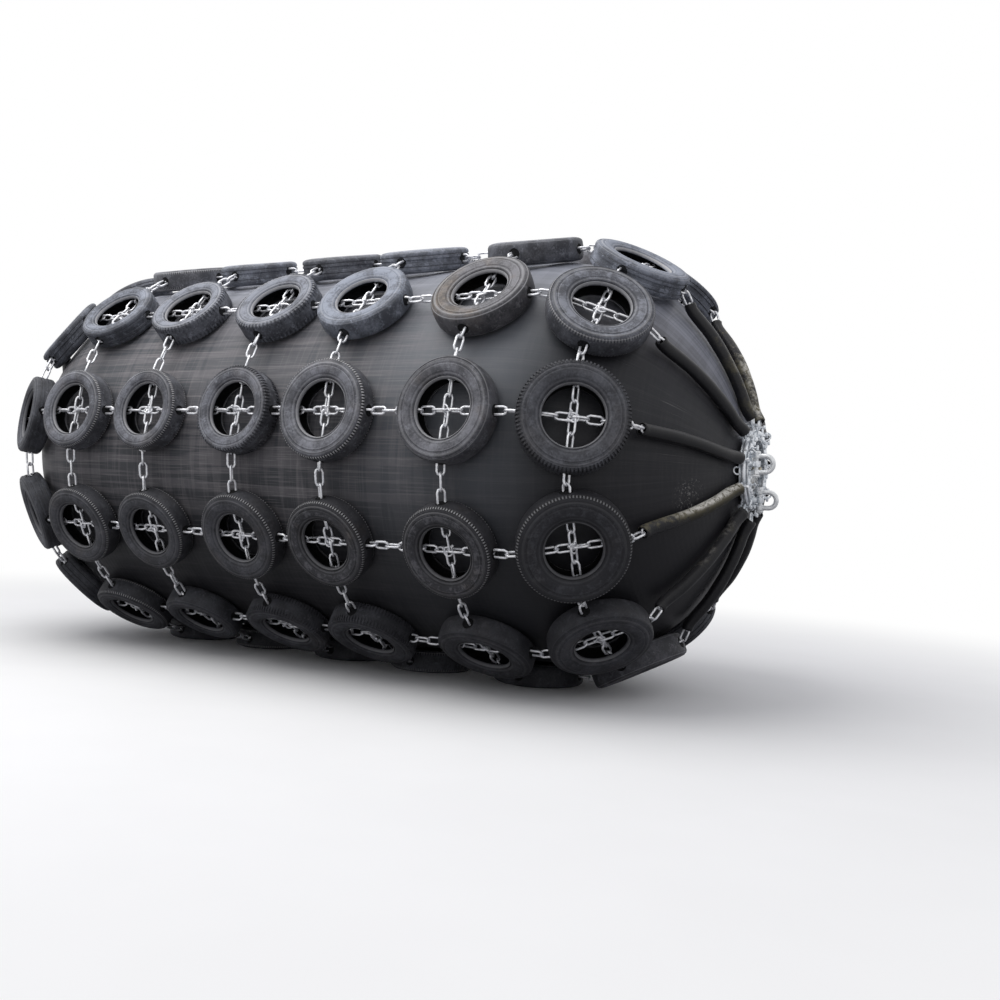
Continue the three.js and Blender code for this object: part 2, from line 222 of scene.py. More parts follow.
def addPiece(name, shape, material, slotName, nodes, sharpAngle=None):
    # The shape as a mesh object that rides on the root and stands for the named CAD nodes
    mesh = bpy.data.meshes.new(name)
    quads, fans = shape["quads"], shape["fans"]
    mesh.vertices.add(len(shape["points"]))
    mesh.vertices.foreach_set("co", shape["points"].astype(np.float32).ravel())
    mesh.loops.add(quads.size + fans.size)
    corners = np.concatenate([quads.ravel(), fans.ravel()])
    mesh.loops.foreach_set("vertex_index", corners.astype(np.int32))
    mesh.polygons.add(len(quads) + len(fans))
    sizes = np.concatenate([np.full(len(quads), 4), np.full(len(fans), 3)])
    mesh.polygons.foreach_set("loop_start", (np.cumsum(sizes) - sizes).astype(np.int32))
    mesh.polygons.foreach_set("use_smooth", np.ones(len(sizes), bool))
    for markName, mark in shape["marks"].items():
        attribute = mesh.attributes.new(markName, "FLOAT_VECTOR", "POINT")
        attribute.data.foreach_set("vector", mark.astype(np.float32).ravel())
    mesh.update(calc_edges=True)
    mesh.validate()
    if sharpAngle:
        mesh.set_sharp_from_angle(angle=math.radians(sharpAngle))
    mesh.materials.append(material)
    piece = bpy.data.objects.new(name, mesh)
    bpy.context.scene.collection.objects.link(piece)
    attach(piece, "root")
    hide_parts(*nodes)


# Materials: a node's output as a value, shared groups, then one function for each finish

def feed(node, feeds):
    # Each input gets its value, or a link where the value is another node's output
    for name, value in feeds.items():
        if isinstance(value, Value):
            node.id_data.links.new(value.socket, node.inputs[name])
        else:
            node.inputs[name].default_value = value


def addNode(tree, kind, feeds=None, **settings):
    node = tree.nodes.new(kind)
    for name, value in settings.items():
        setattr(node, name, value)
    feed(node, feeds or {})
    return node


class Value:
    # A node's output that can be reckoned with as in a written formula
    def __init__(self, socket):
        self.socket = socket
        self.tree = socket.id_data

    def calc(self, operation, *others):
        feeds = dict(enumerate((self, *others)))
        return Value(addNode(self.tree, "ShaderNodeMath", feeds, operation=operation).outputs[0])

    def __add__(self, other):
        return self.calc("ADD", other)

    def __sub__(self, other):
        return self.calc("SUBTRACT", other)

    def __rsub__(self, other):
        return self.calc("MULTIPLY_ADD", -1.0, other)

    def __mul__(self, other):
        return self.calc("MULTIPLY", other)

    def __truediv__(self, other):
        return self.calc("DIVIDE", other)

    def most(self, other):
        return self.calc("MAXIMUM", other)

    def least(self, other):
        return self.calc("MINIMUM", other)

    def rise(self, low, high, start=0.0, end=1.0):
        # From start to end, smoothly, as the value goes from low to high
        feeds = {"Value": self, "From Min": low, "From Max": high, "To Min": start, "To Max": end}
        node = addNode(self.tree, "ShaderNodeMapRange", feeds, interpolation_type="SMOOTHSTEP")
        return Value(node.outputs["Result"])

    def band(self, low, high, soft):
        # One between low and high, falling to nothing over the soft edge on both sides
        return self.rise(low - soft, low) * self.rise(high, high + soft, 1.0, 0.0)


def blend(factor, first, second):
    feeds = {0: factor, 6: first, 7: second}
    return Value(addNode(factor.tree, "ShaderNodeMix", feeds, data_type="RGBA").outputs[2])


def noise(vector, scale, detail=3.0, roughness=0.55):
    feeds = {"Vector": vector, "Scale": scale, "Detail": detail, "Roughness": roughness}
    return Value(addNode(vector.tree, "ShaderNodeTexNoise", feeds).outputs[0])


def splitVector(vector):
    node = addNode(vector.tree, "ShaderNodeSeparateXYZ", {0: vector})
    return [Value(socket) for socket in node.outputs[:3]]


def combined(first, second, third):
    node = addNode(first.tree, "ShaderNodeCombineXYZ", {0: first, 1: second, 2: third})
    return Value(node.outputs[0])


def attributeParts(tree, name):
    node = addNode(tree, "ShaderNodeAttribute", attribute_name=name, attribute_type="GEOMETRY")
    return splitVector(Value(node.outputs["Vector"]))


def objectPlace(tree):
    return Value(addNode(tree, "ShaderNodeTexCoord").outputs["Object"])


def bumpOf(height, strength, distance, after=None):
    feeds = {"Height": height, "Strength": strength, "Distance": distance}
    if after is not None:
        feeds["Normal"] = after
    return Value(addNode(height.tree, "ShaderNodeBump", feeds).outputs[0])


def startGroup(name, inputs, outputs):
    # An empty group, its inputs as values by name, and the node that takes its outputs
    group = bpy.data.node_groups.new(name, "ShaderNodeTree")
    for label, (kind, value) in inputs.items():
        socket = group.interface.new_socket(label, in_out="INPUT", socket_type="NodeSocket" + kind)
        if value is not None:
            socket.default_value = value
    for label, kind in outputs.items():
        group.interface.new_socket(label, in_out="OUTPUT", socket_type="NodeSocket" + kind)
    start = group.nodes.new("NodeGroupInput")
    given = {label: Value(start.outputs[label]) for label in inputs}
    return group, given, group.nodes.new("NodeGroupOutput")


def useGroup(group, place, **values):
    # The group's outputs by name. A value's name is its input's name without the gaps
    named = {"".join(socket.name.split()).lower(): socket.name for socket in group.interface.items_tree
             if socket.in_out == "INPUT"}
    feeds = {named[name.lower()]: value for name, value in values.items()}
    node = addNode(place.tree, "ShaderNodeGroup", {"Place": place, **feeds}, node_tree=group)
    return {socket.name: Value(socket) for socket in node.outputs}


def startMaterial(name):
    material = bpy.data.materials.new(name)
    material.use_nodes = True
    tree = material.node_tree
    tree.nodes.clear()
    shader = tree.nodes.new("ShaderNodeBsdfPrincipled")
    output = tree.nodes.new("ShaderNodeOutputMaterial")
    tree.links.new(shader.outputs[0], output.inputs[0])
    return material, tree, shader


def makeGrimeGroup():
    # Broad clouds of dust broken up by finer grit: a mask from nothing to one
    group, given, end = startGroup("grime", {
        "Place": ("Vector", None), "Cloud Scale": ("Float", 2.0), "Grit Scale": ("Float", 40.0),
        "Amount": ("Float", 0.5), "Softness": ("Float", 0.35)}, {"Mask": "Float", "Grit": "Float"})
    clouds = noise(given["Place"], given["Cloud Scale"], 4.0, 0.6)
    grit = noise(given["Place"], given["Grit Scale"], 5.0, 0.7)
    low = 0.72 - given["Amount"] * 0.5
    mask = (grit * 0.35 + clouds * 0.65).rise(low, low + given["Softness"])
    feed(end, {"Mask": mask, "Grit": grit})
    return group


def makeZincGroup():
    # Hot-dip zinc: pale and dull patches with darker streaks, and its roughness and fine lumps
    group, given, end = startGroup("zincCoat", {
        "Place": ("Vector", None), "Scale": ("Float", 30.0), "Pale": ("Color", (0.7, 0.72, 0.74, 1.0)),
        "Dull": ("Color", (0.4, 0.42, 0.44, 1.0)), "Stain": ("Float", 0.3)},
        {"Color": "Color", "Roughness": "Float", "Height": "Float"})
    patches = noise(given["Place"], given["Scale"], 4.0, 0.6)
    small = noise(given["Place"], given["Scale"] * 6.0, 3.0, 0.6)
    mixed = blend(patches.rise(0.36, 0.66), given["Pale"], given["Dull"])
    stain = noise(given["Place"], 9.0, 5.0, 0.7).rise(0.52, 0.72) * given["Stain"]
    feed(end, {"Color": blend(stain, mixed, (0.20, 0.15, 0.11, 1.0)),
               "Roughness": patches.rise(0.3, 0.7, 0.30, 0.52), "Height": small * 0.5 + patches})
    return group


def makeScuffGroup():
    # Dashes that run one way: noise drawn out along the first axis, kept only where it peaks
    group, given, end = startGroup("scuffs", {
        "Place": ("Vector", None), "Along": ("Float", 6.0), "Across": ("Float", 150.0),
        "Density": ("Float", 0.5), "Softness": ("Float", 0.14)}, {"Mask": "Float"})
    along, second, third = splitVector(given["Place"])
    across = given["Across"]
    dashes = noise(combined(along * given["Along"], second * across, third * across), 1.0, 2.0, 0.5)
    low = 0.80 - given["Density"] * 0.36
    feed(end, {"Mask": dashes.rise(low, low + given["Softness"])})
    return group


grimeGroup = makeGrimeGroup()
zincGroup = makeZincGroup()
scuffGroup = makeScuffGroup()
print("shared shader groups made")


# The rubber body

bodyLook = {
    # The film colour is a bluish film partly painted as top light
    "black": (0.013, 0.0125, 0.015, 1.0), "film": (0.175, 0.188, 0.206, 1.0),
    # The top dust colour is settled dust with a painted sheen of the sky
    "dust": (0.245, 0.230, 0.236, 1.0), "topDust": (0.335, 0.345, 0.395, 1.0),
    "scratch": (0.40, 0.385, 0.37, 1.0), "scrapePlace": (3.29, -0.79, 1.58),
    "wrapPitch": 0.045, "ribCount": 660,
    # Streaks by their fineness lengthways and round, density and softness
    "streaks": [(2.4, 90.0, 0.74, 0.14), (66.0, 2.0, 0.72, 0.14), (0.5, 15.0, 0.90, 0.06),
                (9.0, 0.7, 0.88, 0.06), (1.3, 210.0, 0.36, 0.14)],
}


def makeBodyMaterial(look):
    material, tree, shader = startMaterial("bodyRubber")
    place = objectPlace(tree)
    y, z = splitVector(place)[1:]
    height = z - fenderForm["axisHeight"]
    reach = (y * y + height * height).calc("SQRT").most(0.02)
    uy, uz = y / reach, height / reach
    along = attributeParts(tree, "meridian")[0]
    skin = combined(along, uy * fenderForm["radius"], uz * fenderForm["radius"])
    lengthways, roundways, wideBands, hoopBands, longScratch = (
        useGroup(scuffGroup, skin, along=stretch, across=fine, density=density, softness=softness)["Mask"]
        for stretch, fine, density, softness in look["streaks"])
    dust = useGroup(grimeGroup, place, cloudScale=1.1, gritScale=28.0, amount=0.62, softness=0.42)
    leftAndUp = along.rise(0.3, 2.6, 1.0, 0.06) * uz.rise(-0.62, 0.05, 0.10, 1.0)

    # Where cloth was wound its bands lie lengthways and round, with finer threads in each
    woven = wideBands * 0.60 + hoopBands * 0.34 + lengthways * 0.46 + roundways * 0.26 + 0.10
    dusty = leftAndUp * woven * (dust["Mask"] * 0.55 + 0.52)
    # A bluish film, painted lighter the further up the skin faces as painted top light, and less of it on
    # the right dome
    film = uz.rise(-0.70, 0.60, 0.07, 0.48) * along.rise(1.9, 2.7, 1.0, 0.12)
    colour = blend(film * along.rise(0.6, 1.5, 1.0, 1.75), look["black"], look["film"])
    # Upward-facing skin is painted paler and bluer: settled dust, and a painted sheen of the sky
    top = uz.rise(0.45, 0.95)
    topSheenAndDust = top * (woven * 0.32 + 0.46)
    colour = blend(dusty.most(topSheenAndDust).least(1.0), colour, blend(top, look["dust"], look["topDust"]))
    dashes = (lengthways * 0.65 + roundways * 0.25) * leftAndUp
    colour = blend(dashes * 0.20, colour, look["scratch"])
    scratches = longScratch * noise(place, 1.7, 2.0).rise(0.47, 0.62) * uz.rise(-0.62, 0.05, 0.10, 1.0)
    colour = blend(scratches * 0.60, colour, look["scratch"])

    # Flecks scraped off where the muddy sleeve has rubbed on the right dome
    toScrape = addNode(tree, "ShaderNodeVectorMath", {0: place, 1: look["scrapePlace"]},
                       operation="DISTANCE")
    near = Value(toScrape.outputs["Value"]).rise(0.05, 0.19, 1.0, 0.0)
    flecks = noise(place, 55.0, 5.0, 0.8).rise(0.56, 0.64) * near
    colour = blend(flecks * 0.8, colour, look["scratch"])

    # Wraps of cloth leave ridges round the body, and the ply under them fine ribs along it
    wraps = (along * (2 * math.pi / look["wrapPitch"])).calc("SINE")
    ribs = (height.calc("ARCTAN2", y) * look["ribCount"]).calc("SINE")
    wavy = noise(skin, 3.5, 3.0)
    weave = (wraps * 0.5 + ribs * 0.3) * wavy.rise(0.36, 0.62, 0.25, 1.0)
    bump = bumpOf(wavy * 6.0 + weave, 0.55, 0.0011)
    bump = bumpOf(lengthways * -0.6 + dust["Grit"], 0.4, 0.0008, bump)
    feed(shader, {"Base Color": colour, "Roughness": dusty.most(dashes) * 0.28 + 0.46, "Normal": bump,
                  "Specular IOR Level": 0.22})
    return material


def bodyShape():
    # The dome is an ellipse: X grows with the sine of its angle and the radius with the cosine.
    # Two domes and the straight barrel between them make one profile, turned about X
    form = fenderForm
    angle = np.linspace(0, math.acos(form["seatRadius"] / form["radius"]), form["domeSteps"])
    x = form["halfStraight"] + form["domeDepth"] * np.sin(angle)
    h = form["radius"] * np.cos(angle)
    barrel = np.linspace(-form["halfStraight"], form["halfStraight"], form["barrelSteps"])[1:-1]
    xs = np.concatenate([-x[::-1], barrel, x])[:, None]
    hs = np.concatenate([h[::-1], np.full(len(barrel), form["radius"]), h])[:, None]
    run = np.concatenate([[0], np.cumsum(np.hypot(np.diff(xs[:, 0]), np.diff(hs[:, 0])))])
    around = roundSteps(form["around"])
    # The waves' sum is never below minus their number, so the skin is never above its true surface
    waves = sum(np.sin(fine * xs + count * around + start) for fine, count, start in form["waves"])
    reach = hs - form["hollow"] * (len(form["waves"]) + waves) * np.minimum(1.0, hs)
    points = np.stack([np.repeat(xs, form["around"], 1), reach * np.cos(around),
                       reach * np.sin(around) + form["axisHeight"]], -1)
    meridian = np.zeros(points.shape)
    meridian[..., 0] = (run - run[-1] / 2)[:, None]
    return gridShape(points, marks={"meridian": meridian})


addPiece("bodySkin", bodyShape(), makeBodyMaterial(bodyLook), "body_rubber", ["fender_body"], 50)
print("rubber body made")


# The used tyres

# Some of the rows in sight hold tyres with smaller hubs
tyreForm = {"halfWidth": 0.095, "hub": 0.224, "hubs": {1: 0.195, 2: 0.198, 3: 0.214, 4: 0.208},
            "around": 72, "lugDepth": 0.010, "lugDrop": 0.005}

# Half sections of a tyre as (share of the way from hub to tread, share of the half width)
beadAndWall = [(0.0, 0.50), (0.015, 0.66), (0.06, 0.76), (0.11, 0.745), (0.16, 0.83), (0.32, 0.95),
               (0.50, 1.0), (0.68, 0.97)]
treadSections = {
    "plain": beadAndWall + [(0.78, 0.93), (0.87, 0.87), (0.95, 0.77), (0.99, 0.60), (1.005, 0.30),
                            (1.01, 0.0)],
    "ridged": beadAndWall + [(0.76, 0.945), (0.785, 0.975), (0.82, 0.945), (0.87, 0.865), (0.90, 0.885),
                             (0.945, 0.80), (0.985, 0.66), (1.0, 0.30), (1.005, 0.0)],
    "ribbed": beadAndWall + [(0.80, 0.92), (0.90, 0.86), (0.975, 0.74), (0.995, 0.62), (0.993, 0.50),
                             (0.945, 0.48), (0.945, 0.40), (1.0, 0.38), (1.003, 0.18), (0.955, 0.16),
                             (0.955, 0.0)],
    "lugged": beadAndWall + [(0.78, 0.945), (0.84, 0.945), (0.93, 0.90), (0.985, 0.80), (1.0, 0.62),
                             (1.0, 0.34), (1.005, 0.0)],
}
innerSection = [(0.93, 0.0), (0.90, 0.56), (0.64, 0.86), (0.22, 0.80), (0.0, 0.47)]

# What each kind of tyre is like: its tread, lugs, dust, blueness of the dust with its painted sky sheen,
# gloss, fine notches, rings
tyreKinds = {
    "coalLug": ("lugged", 88, 0.34, 0.4, 0.25, 0.0, 0.2),
    "greyLug": ("lugged", 80, 0.85, 0.4, 0.2, 0.0, 0.3),
    "blueLug": ("lugged", 64, 0.92, 0.65, 0.2, 0.0, 0.5),
    "coal": ("plain", 0, 0.30, 0.5, 0.35, 0.0, 0.3),
    "pitch": ("plain", 0, 0.08, 0.3, 0.30, 0.7, 0.3),
    "mattDark": ("plain", 0, 0.26, 0.3, 0.3, 0.0, 0.2),
    "dustRing": ("plain", 0, 0.22, 0.1, 0.3, 1.0, 1.0),
    "rimmed": ("ridged", 0, 0.80, 0.2, 0.45, 0.0, 0.5),
    "shiny": ("ridged", 0, 0.72, 0.0, 0.8, 0.0, 1.0),
    "beaded": ("plain", 0, 0.85, 0.3, 0.3, 1.0, 0.5),
    "beadedDark": ("plain", 0, 0.30, 0.3, 0.3, 0.9, 0.3),
    "notched": ("plain", 0, 0.85, 0.4, 0.3, 0.8, 0.4),
    "blueMatt": ("plain", 0, 1.10, 1.0, 0.1, 0.0, 0.1),
    "lined": ("ridged", 0, 0.55, 0.5, 0.4, 0.3, 1.0),
    "ribbed": ("ribbed", 0, 0.36, 0.6, 0.3, 0.0, 0.3),
    "ribbedBlue": ("ribbed", 0, 0.55, 0.9, 0.25, 0.0, 0.3),
    "ribbedTop": ("ribbed", 0, 1.05, 0.9, 0.25, 0.0, 0.3),
}
tyreNet = [
    "ribbed coal beadedDark coal lined coal rimmed",
    "ribbed beadedDark coal coalLug coalLug mattDark mattDark",
    "ribbed beadedDark beadedDark beadedDark dustRing dustRing pitch",
    "ribbed notched notched greyLug beaded rimmed coalLug",
    "ribbedBlue ribbedBlue blueLug blueLug blueMatt shiny lined",
    "ribbed lined ribbedBlue ribbed ribbedTop coal ribbedTop",
    "ribbed coal lined ribbedBlue notched rimmed ribbedBlue",
    "lined ribbedBlue blueMatt coal ribbed lined rimmed",
    "coal lined ribbed notched beaded coal lined",
    "ribbed rimmed coal lined notched beadedDark coal",
    "lined coal ribbed coal lined rimmed ribbed",
]


def tyreShape(outer, hub, kind, seed, settled):
    # A closed section of outer wall and inner wall turned about Z. Lugs pull the shoulder points
    # in and down over part of each step round; two slow waves make a used tyre uneven
    section, lugs, dust, blue, gloss, notches, rings = tyreKinds[kind]
    half = tyreForm["halfWidth"]
    upper, inner = np.array(treadSections[section]), np.array(innerSection)
    lower = upper[::-1][1:] * (1, -1)
    profile = np.concatenate([upper, lower, inner[::-1][:-1] * (1, -1), inner])
    inside = np.arange(len(profile)) >= len(upper) + len(lower)
    share, level = profile[:, 0], profile[:, 1]
    if lugs:
        # Each lug and the slot after it take four steps
        steps = np.array([0.0, 0.44, 0.52, 0.92])
        around = ((np.arange(lugs)[:, None] + steps) / lugs).ravel() * 2 * np.pi
        slot = np.tile([0.0, 0.0, 1.0, 1.0], lugs)
    else:
        around = roundSteps(tyreForm["around"])
        slot = np.zeros(len(around))
    atShoulder = np.clip((share - 0.82) / 0.12, 0, 1) * np.clip((np.abs(level) - 0.42) / 0.18, 0, 1)
    pull = np.where(inside, 0, atShoulder)[:, None] * slot
    phase = np.random.default_rng(seed).uniform(0, 2 * np.pi, 3)
    uneven = 1 + 0.004 * np.sin(2 * around + phase[0]) + 0.002 * np.sin(3 * around + phase[1])
    r = (hub + share * (outer - hub))[:, None] * uneven - pull * tyreForm["lugDepth"]
    z = (level * half)[:, None] - np.sign(level)[:, None] * pull * tyreForm["lugDrop"]
    sag = 0.0025 * np.sin(2 * around + phase[2])
    z = z + np.where(level[:, None] > 0, sag, 0) * (1 - share[:, None])
    points = np.stack([r * np.cos(around), r * np.sin(around), z], -1)
    tread = np.empty(points.shape)
    tread[..., 0], tread[..., 1] = notches, rings
    tread[..., 2] = np.where(inside, -1.0, share)[:, None]
    return gridShape(points, loopRows=True, marks={
        "tyrePlace": points / (outer, outer, half), "tyreTread": tread,
        "tyreTone": np.broadcast_to((dust + settled, blue, gloss), points.shape)})


tyreLook = {
    "black": (0.017, 0.017, 0.020, 1.0), "greyDust": (0.225, 0.220, 0.232, 1.0),
    # The blue dust colour is dust with a painted sheen of the sky
    "blueDust": (0.315, 0.338, 0.392, 1.0), "brownDust": (0.225, 0.190, 0.160, 1.0),
    # The pale edge colour is dust and painted highlight; the hole colour is painted shade in holes, slots
    # and sunk rings
    "paleEdge": (0.50, 0.495, 0.50, 1.0), "hole": (0.003, 0.003, 0.003, 1.0),
    "notchCount": 104.0, "settled": 0.66,
    # Raised and sunk rings of the side wall: share of the way to the tread, half width, height
    "rings": [(0.105, 0.026, -0.9), (0.19, 0.030, 0.8), (0.27, 0.020, -0.4), (0.58, 0.020, 0.4),
              (0.64, 0.022, -0.7), (0.735, 0.030, 1.0), (0.80, 0.020, -0.6)],
}


def makeTyreMaterial(look):
    material, tree, shader = startMaterial("tyreRubber")
    place = objectPlace(tree)
    x, y, z = attributeParts(tree, "tyrePlace")
    dust, blue, gloss = attributeParts(tree, "tyreTone")
    notches, rings, share = attributeParts(tree, "tyreTread")

    grime = useGroup(grimeGroup, place, cloudScale=6.5, gritScale=60.0, amount=0.66, softness=0.26)
    wall = share.band(0.10, 0.80, 0.08)
    settled = dust * (grime["Mask"] * 0.80 + 0.34) * (wall * 0.45 + 0.55)
    # Crumbs of dirt that have gathered in a ring on the wall, and scuffed patches
    crumbs = noise(place, 17.0, 6.0, 0.78).rise(0.47, 0.60)
    settled = settled + share.band(0.34, 0.66, 0.08) * rings * crumbs * 0.42
    settled = settled + noise(place, 15.0, 6.0, 0.72).rise(0.54, 0.66) * dust * 0.38
    brown = noise(place, 3.0, 3.0).rise(0.52, 0.70)
    warm = blend(brown * (1.0 - blue), look["greyDust"], look["brownDust"])
    # The blue share tints the dust towards a painted sheen of the sky
    colour = blend(settled.least(1.0), look["black"], blend(blue, warm, look["blueDust"]))

    # Pale lines at the bead lip and along the shoulder rims are painted highlights, brighter where there is
    # more dust
    outerRims = share.band(0.775, 0.80, 0.015).most(share.band(0.925, 0.94, 0.012))
    rim = share.band(0.018, 0.062, 0.02).most(rings * outerRims)
    colour = blend(rim * (dust * 0.55 + 0.12), colour, look["paleEdge"])
    wave = (y.calc("ARCTAN2", x) * look["notchCount"]).calc("SINE")
    shoulder = share.band(0.925, 0.975, 0.02) * notches * z.calc("ABSOLUTE").rise(0.5, 0.7)
    teeth, slots = wave.rise(-0.2, 0.4) * shoulder, wave.rise(0.0, -0.5) * shoulder
    # The teeth are painted paler as dust and painted highlight, and the slots between them dark as painted
    # shade
    colour = blend(teeth * (dust * 0.6 + 0.45), colour, look["paleEdge"])
    colour = blend(slots * 0.8, colour, look["hole"])

    # The chain holes at the four sides of the tread are not cut but painted shade, and the tyre's inside is
    # painted shade too
    nearest = x.calc("ABSOLUTE").least(y.calc("ABSOLUTE")) * 9.0
    flatness = z * 2.3
    spread = (nearest * nearest + flatness * flatness).calc("SQRT")
    reach = (x * x + y * y).calc("SQRT")
    hole = spread.rise(1.08, 0.94) * reach.rise(0.80, 0.90)
    dark = hole.most(1.0 - share.rise(-0.5, 0.0))
    colour = blend(dark * 0.9, colour, look["hole"])
    lines = share * 0.0
    for middle, half, lift in look["rings"]:
        lines = lines + share.band(middle - half * 0.4, middle + half * 0.4, half) * lift
    lines = lines * (rings * 0.6 + 0.4)
    # Raised rings are painted paler and sunk rings darker: painted highlight and painted shade over the
    # relief, with more dust on the crests
    colour = blend(lines * (dust * 0.36 + 0.05), colour, look["paleEdge"])
    colour = blend(lines * -0.72, colour, look["hole"])

    bump = bumpOf(lines * 0.9 + (teeth - slots) * 1.6 - hole * 4.0, 1.0, 0.0038)
    bump = bumpOf(grime["Grit"] + noise(place, 22.0, 3.0), 0.35, 0.0014, bump)
    feed(shader, {"Base Color": colour, "Roughness": (settled * 0.25 + 0.66 - gloss * 0.26).most(dark),
                  "Normal": bump, "Specular IOR Level": 0.24})
    return material


def domeSpot(angle, lift):
    # A point of the dome lifted square off it: its X, its reach from the axis, and the tilt there
    form = fenderForm
    tilt = math.atan2(form["radius"] * math.sin(angle), form["domeDepth"] * math.cos(angle))
    return (form["halfStraight"] + form["domeDepth"] * math.sin(angle) + lift * math.sin(tilt),
            form["radius"] * math.cos(angle) + lift * math.cos(tilt), tilt)


def tyrePlaces():
    # On the barrel the tyres lie level; the outer two lie on the dome, tilted as its surface is
    lift = fenderForm["clearance"] + tyreForm["halfWidth"]
    x, h, tilt = domeSpot(fenderForm["shoulderAngle"], lift)
    level = [(place, fenderForm["radius"] + lift, 0.0) for place in columnPlaces]
    return [(-x, h, -tilt)] + level + [(x, h, tilt)]


tyreSpots = tyrePlaces()


def spotPoint(spot, run, side=0.0):
    # A point of the tyre's middle plane, so far along the row and so far round the body
    x, h, tilt = spot
    return np.array([x + run * math.cos(tilt), side, h - run * math.sin(tilt)])


def spotUp(spot):
    return np.array([math.sin(spot[2]), 0.0, math.cos(spot[2])])


def rowTyres(row):
    # More dust settles on a row the further up it faces
    settled = tyreLook["settled"] * max(0.0, rowMatrix(row)[2, 2]) ** 2
    hub = tyreForm["hubs"].get(row, tyreForm["hub"])
    shapes = []
    for column, (spot, kind) in enumerate(zip(tyreSpots, tyreNet[row].split())):
        tyre = tyreShape(radiiOf(row)[column], hub, kind, 100 * row + column, settled)
        shapes.append(placeAll(tyre, withPlace(turnMatrix("Y", spot[2]), (spot[0], 0, spot[1]))))
    return placeAll(joinShapes(shapes), rowMatrix(row))


tyreMaterial = makeTyreMaterial(tyreLook)
for row in range(fenderForm["rows"]):
    number = numberOf(row)
    addPiece(f"usedTyres{number}", rowTyres(row), tyreMaterial, "tyre_rubber", [f"tyre_row_{number}"], 32)
print("77 tyres made")


# The chains

chainForm = {"wire": 0.0190, "width": 0.074, "pitch": 0.110, "sides": 6, "sleeveRise": 0.092,
             "sleeveRun": 0.09, "slack": 0.14, "intoSleeve": 0.10}
chainLook = {"pale": (0.94, 0.94, 0.96, 1.0), "dull": (0.66, 0.67, 0.71, 1.0), "stain": 0.16,
             "scale": 34.0, "metal": 0.62}


def makeZincMaterial(name, look):
    material, tree, shader = startMaterial(name)
    coat = useGroup(zincGroup, objectPlace(tree), scale=look["scale"], pale=look["pale"],
                    dull=look["dull"], stain=look["stain"])
    feed(shader, {"Base Color": coat["Color"], "Roughness": coat["Roughness"],
                  "Normal": bumpOf(coat["Height"], 0.35, 0.0012), "Metallic": look["metal"]})
    return material


def linkShape(wire, width, pitch, sides):
    # A long link: a round wire carried round two half circles joined by straight sides
    bend = (width - wire) / 2
    turn = np.linspace(-math.pi / 2, math.pi / 2, 5)
    end = np.stack([pitch / 2 + wire / 2 - bend + bend * np.cos(turn), bend * np.sin(turn), 0 * turn], -1)
    return tube(np.concatenate([end, -end]), (0, 0, 1), wire / 2, sides, loop=True)


def boltShape(radius, length, head, headLength, nutLength, sides=8):
    # A round shank along Z from its hexagon head to past its nut, each a short turned profile
    shank = [(radius, -headLength * 0.5), (radius, length + nutLength * 0.9),
             (radius * 0.7, length + nutLength * 1.15)]
    crown = [(head * 0.9, -headLength), (head, -headLength * 0.75), (head, 0.0)]
    nut = [(head, length), (head, length + nutLength * 0.8), (head * 0.88, length + nutLength)]
    return joinShapes([turned(shank, sides), turned(crown, 6), turned(nut, 6)])


def bowPath(gap, reach, flare, steps):
    # A shackle's bow: straight legs out along X, widening by the flare, joined by a half circle
    middle = gap / 2 * flare
    turn = np.linspace(math.pi / 2, -math.pi / 2, steps)
    arc = np.stack([reach - middle + middle * np.cos(turn), middle * np.sin(turn), 0 * turn], -1)
    legs = np.array([[0, gap / 2, 0], [(reach - middle) * 0.45, gap / 2 * (1 + (flare - 1) * 0.45), 0]])
    return np.concatenate([legs, arc, legs[::-1] * (1, -1, 1)])


def smallShackle(gap, reach, wire, sides):
    # A small bow shackle with its bolt across the eyes
    bow = tube(bowPath(gap + wire, reach, 1.25, 6), (0, 0, 1), wire / 2, sides)
    bolt = boltShape(wire * 0.42, gap + 2 * wire, wire * 0.95, wire * 0.7, wire * 0.8, 6)
    return joinShapes([bow, placeAll(bolt, acrossY((0, -gap / 2 - wire, 0)))])


def spacedOn(path):
    # The length of the path up to each of its points, and a function that reads any list of
    # values, one for each point, at any length
    run = np.concatenate([[0], np.cumsum(np.linalg.norm(np.diff(path, axis=0), axis=1))])

    def at(values, where):
        return np.stack([np.interp(where, run, values[:, side]) for side in range(3)], -1)

    return run, at


def spanLinks(path, ups, chance, first=0, lean=0.0):
    # Links laid end to end on a path: each sits where the path is at its middle, points from the
    # path's place half a pitch before to the one half a pitch after. Every other one is turned a
    # quarter about the path, and all of them lean with the chain
    path, ups = np.asarray(path, float), np.asarray(ups, float)
    run, at = spacedOn(path)
    links = max(1, round(float(run[-1]) / chainForm["pitch"]))
    step = run[-1] / links
    middle = (np.arange(links) + 0.5) * step
    ahead, behind = at(path, middle + step / 2), at(path, middle - step / 2)
    size = np.linalg.norm(ahead - behind, axis=1, keepdims=True)
    along = (ahead - behind) / size
    across = unit(np.cross(at(ups, middle), along))
    up = np.cross(along, across)
    roll = lean + (np.arange(links) + first) % 2 * math.pi / 2 + chance.normal(0, chainForm["slack"], links)
    cos, sin = np.cos(roll)[:, None], np.sin(roll)[:, None]
    matrices = np.stack([along * size / chainForm["pitch"], across * cos + up * sin,
                         up * cos - across * sin, (ahead + behind) / 2], -1)
    return matrices, middle


def inWorld(row, matrices):
    # The row's frame applied to link matrices
    world = rowMatrix(row)
    result = np.einsum("ij,kjl->kil", world[:, :3], matrices)
    result[:, :, 3] += world[:, 3]
    return result


def domePoint(angle, lift):
    x, h = domeSpot(angle, lift)[:2]
    return np.array([x, 0.0, h])


def sleeveStart(outer):
    angle = fenderForm["shoulderAngle"] + (outer + chainForm["sleeveRun"]) / fenderForm["radius"]
    return angle, domePoint(angle, chainForm["sleeveRise"])


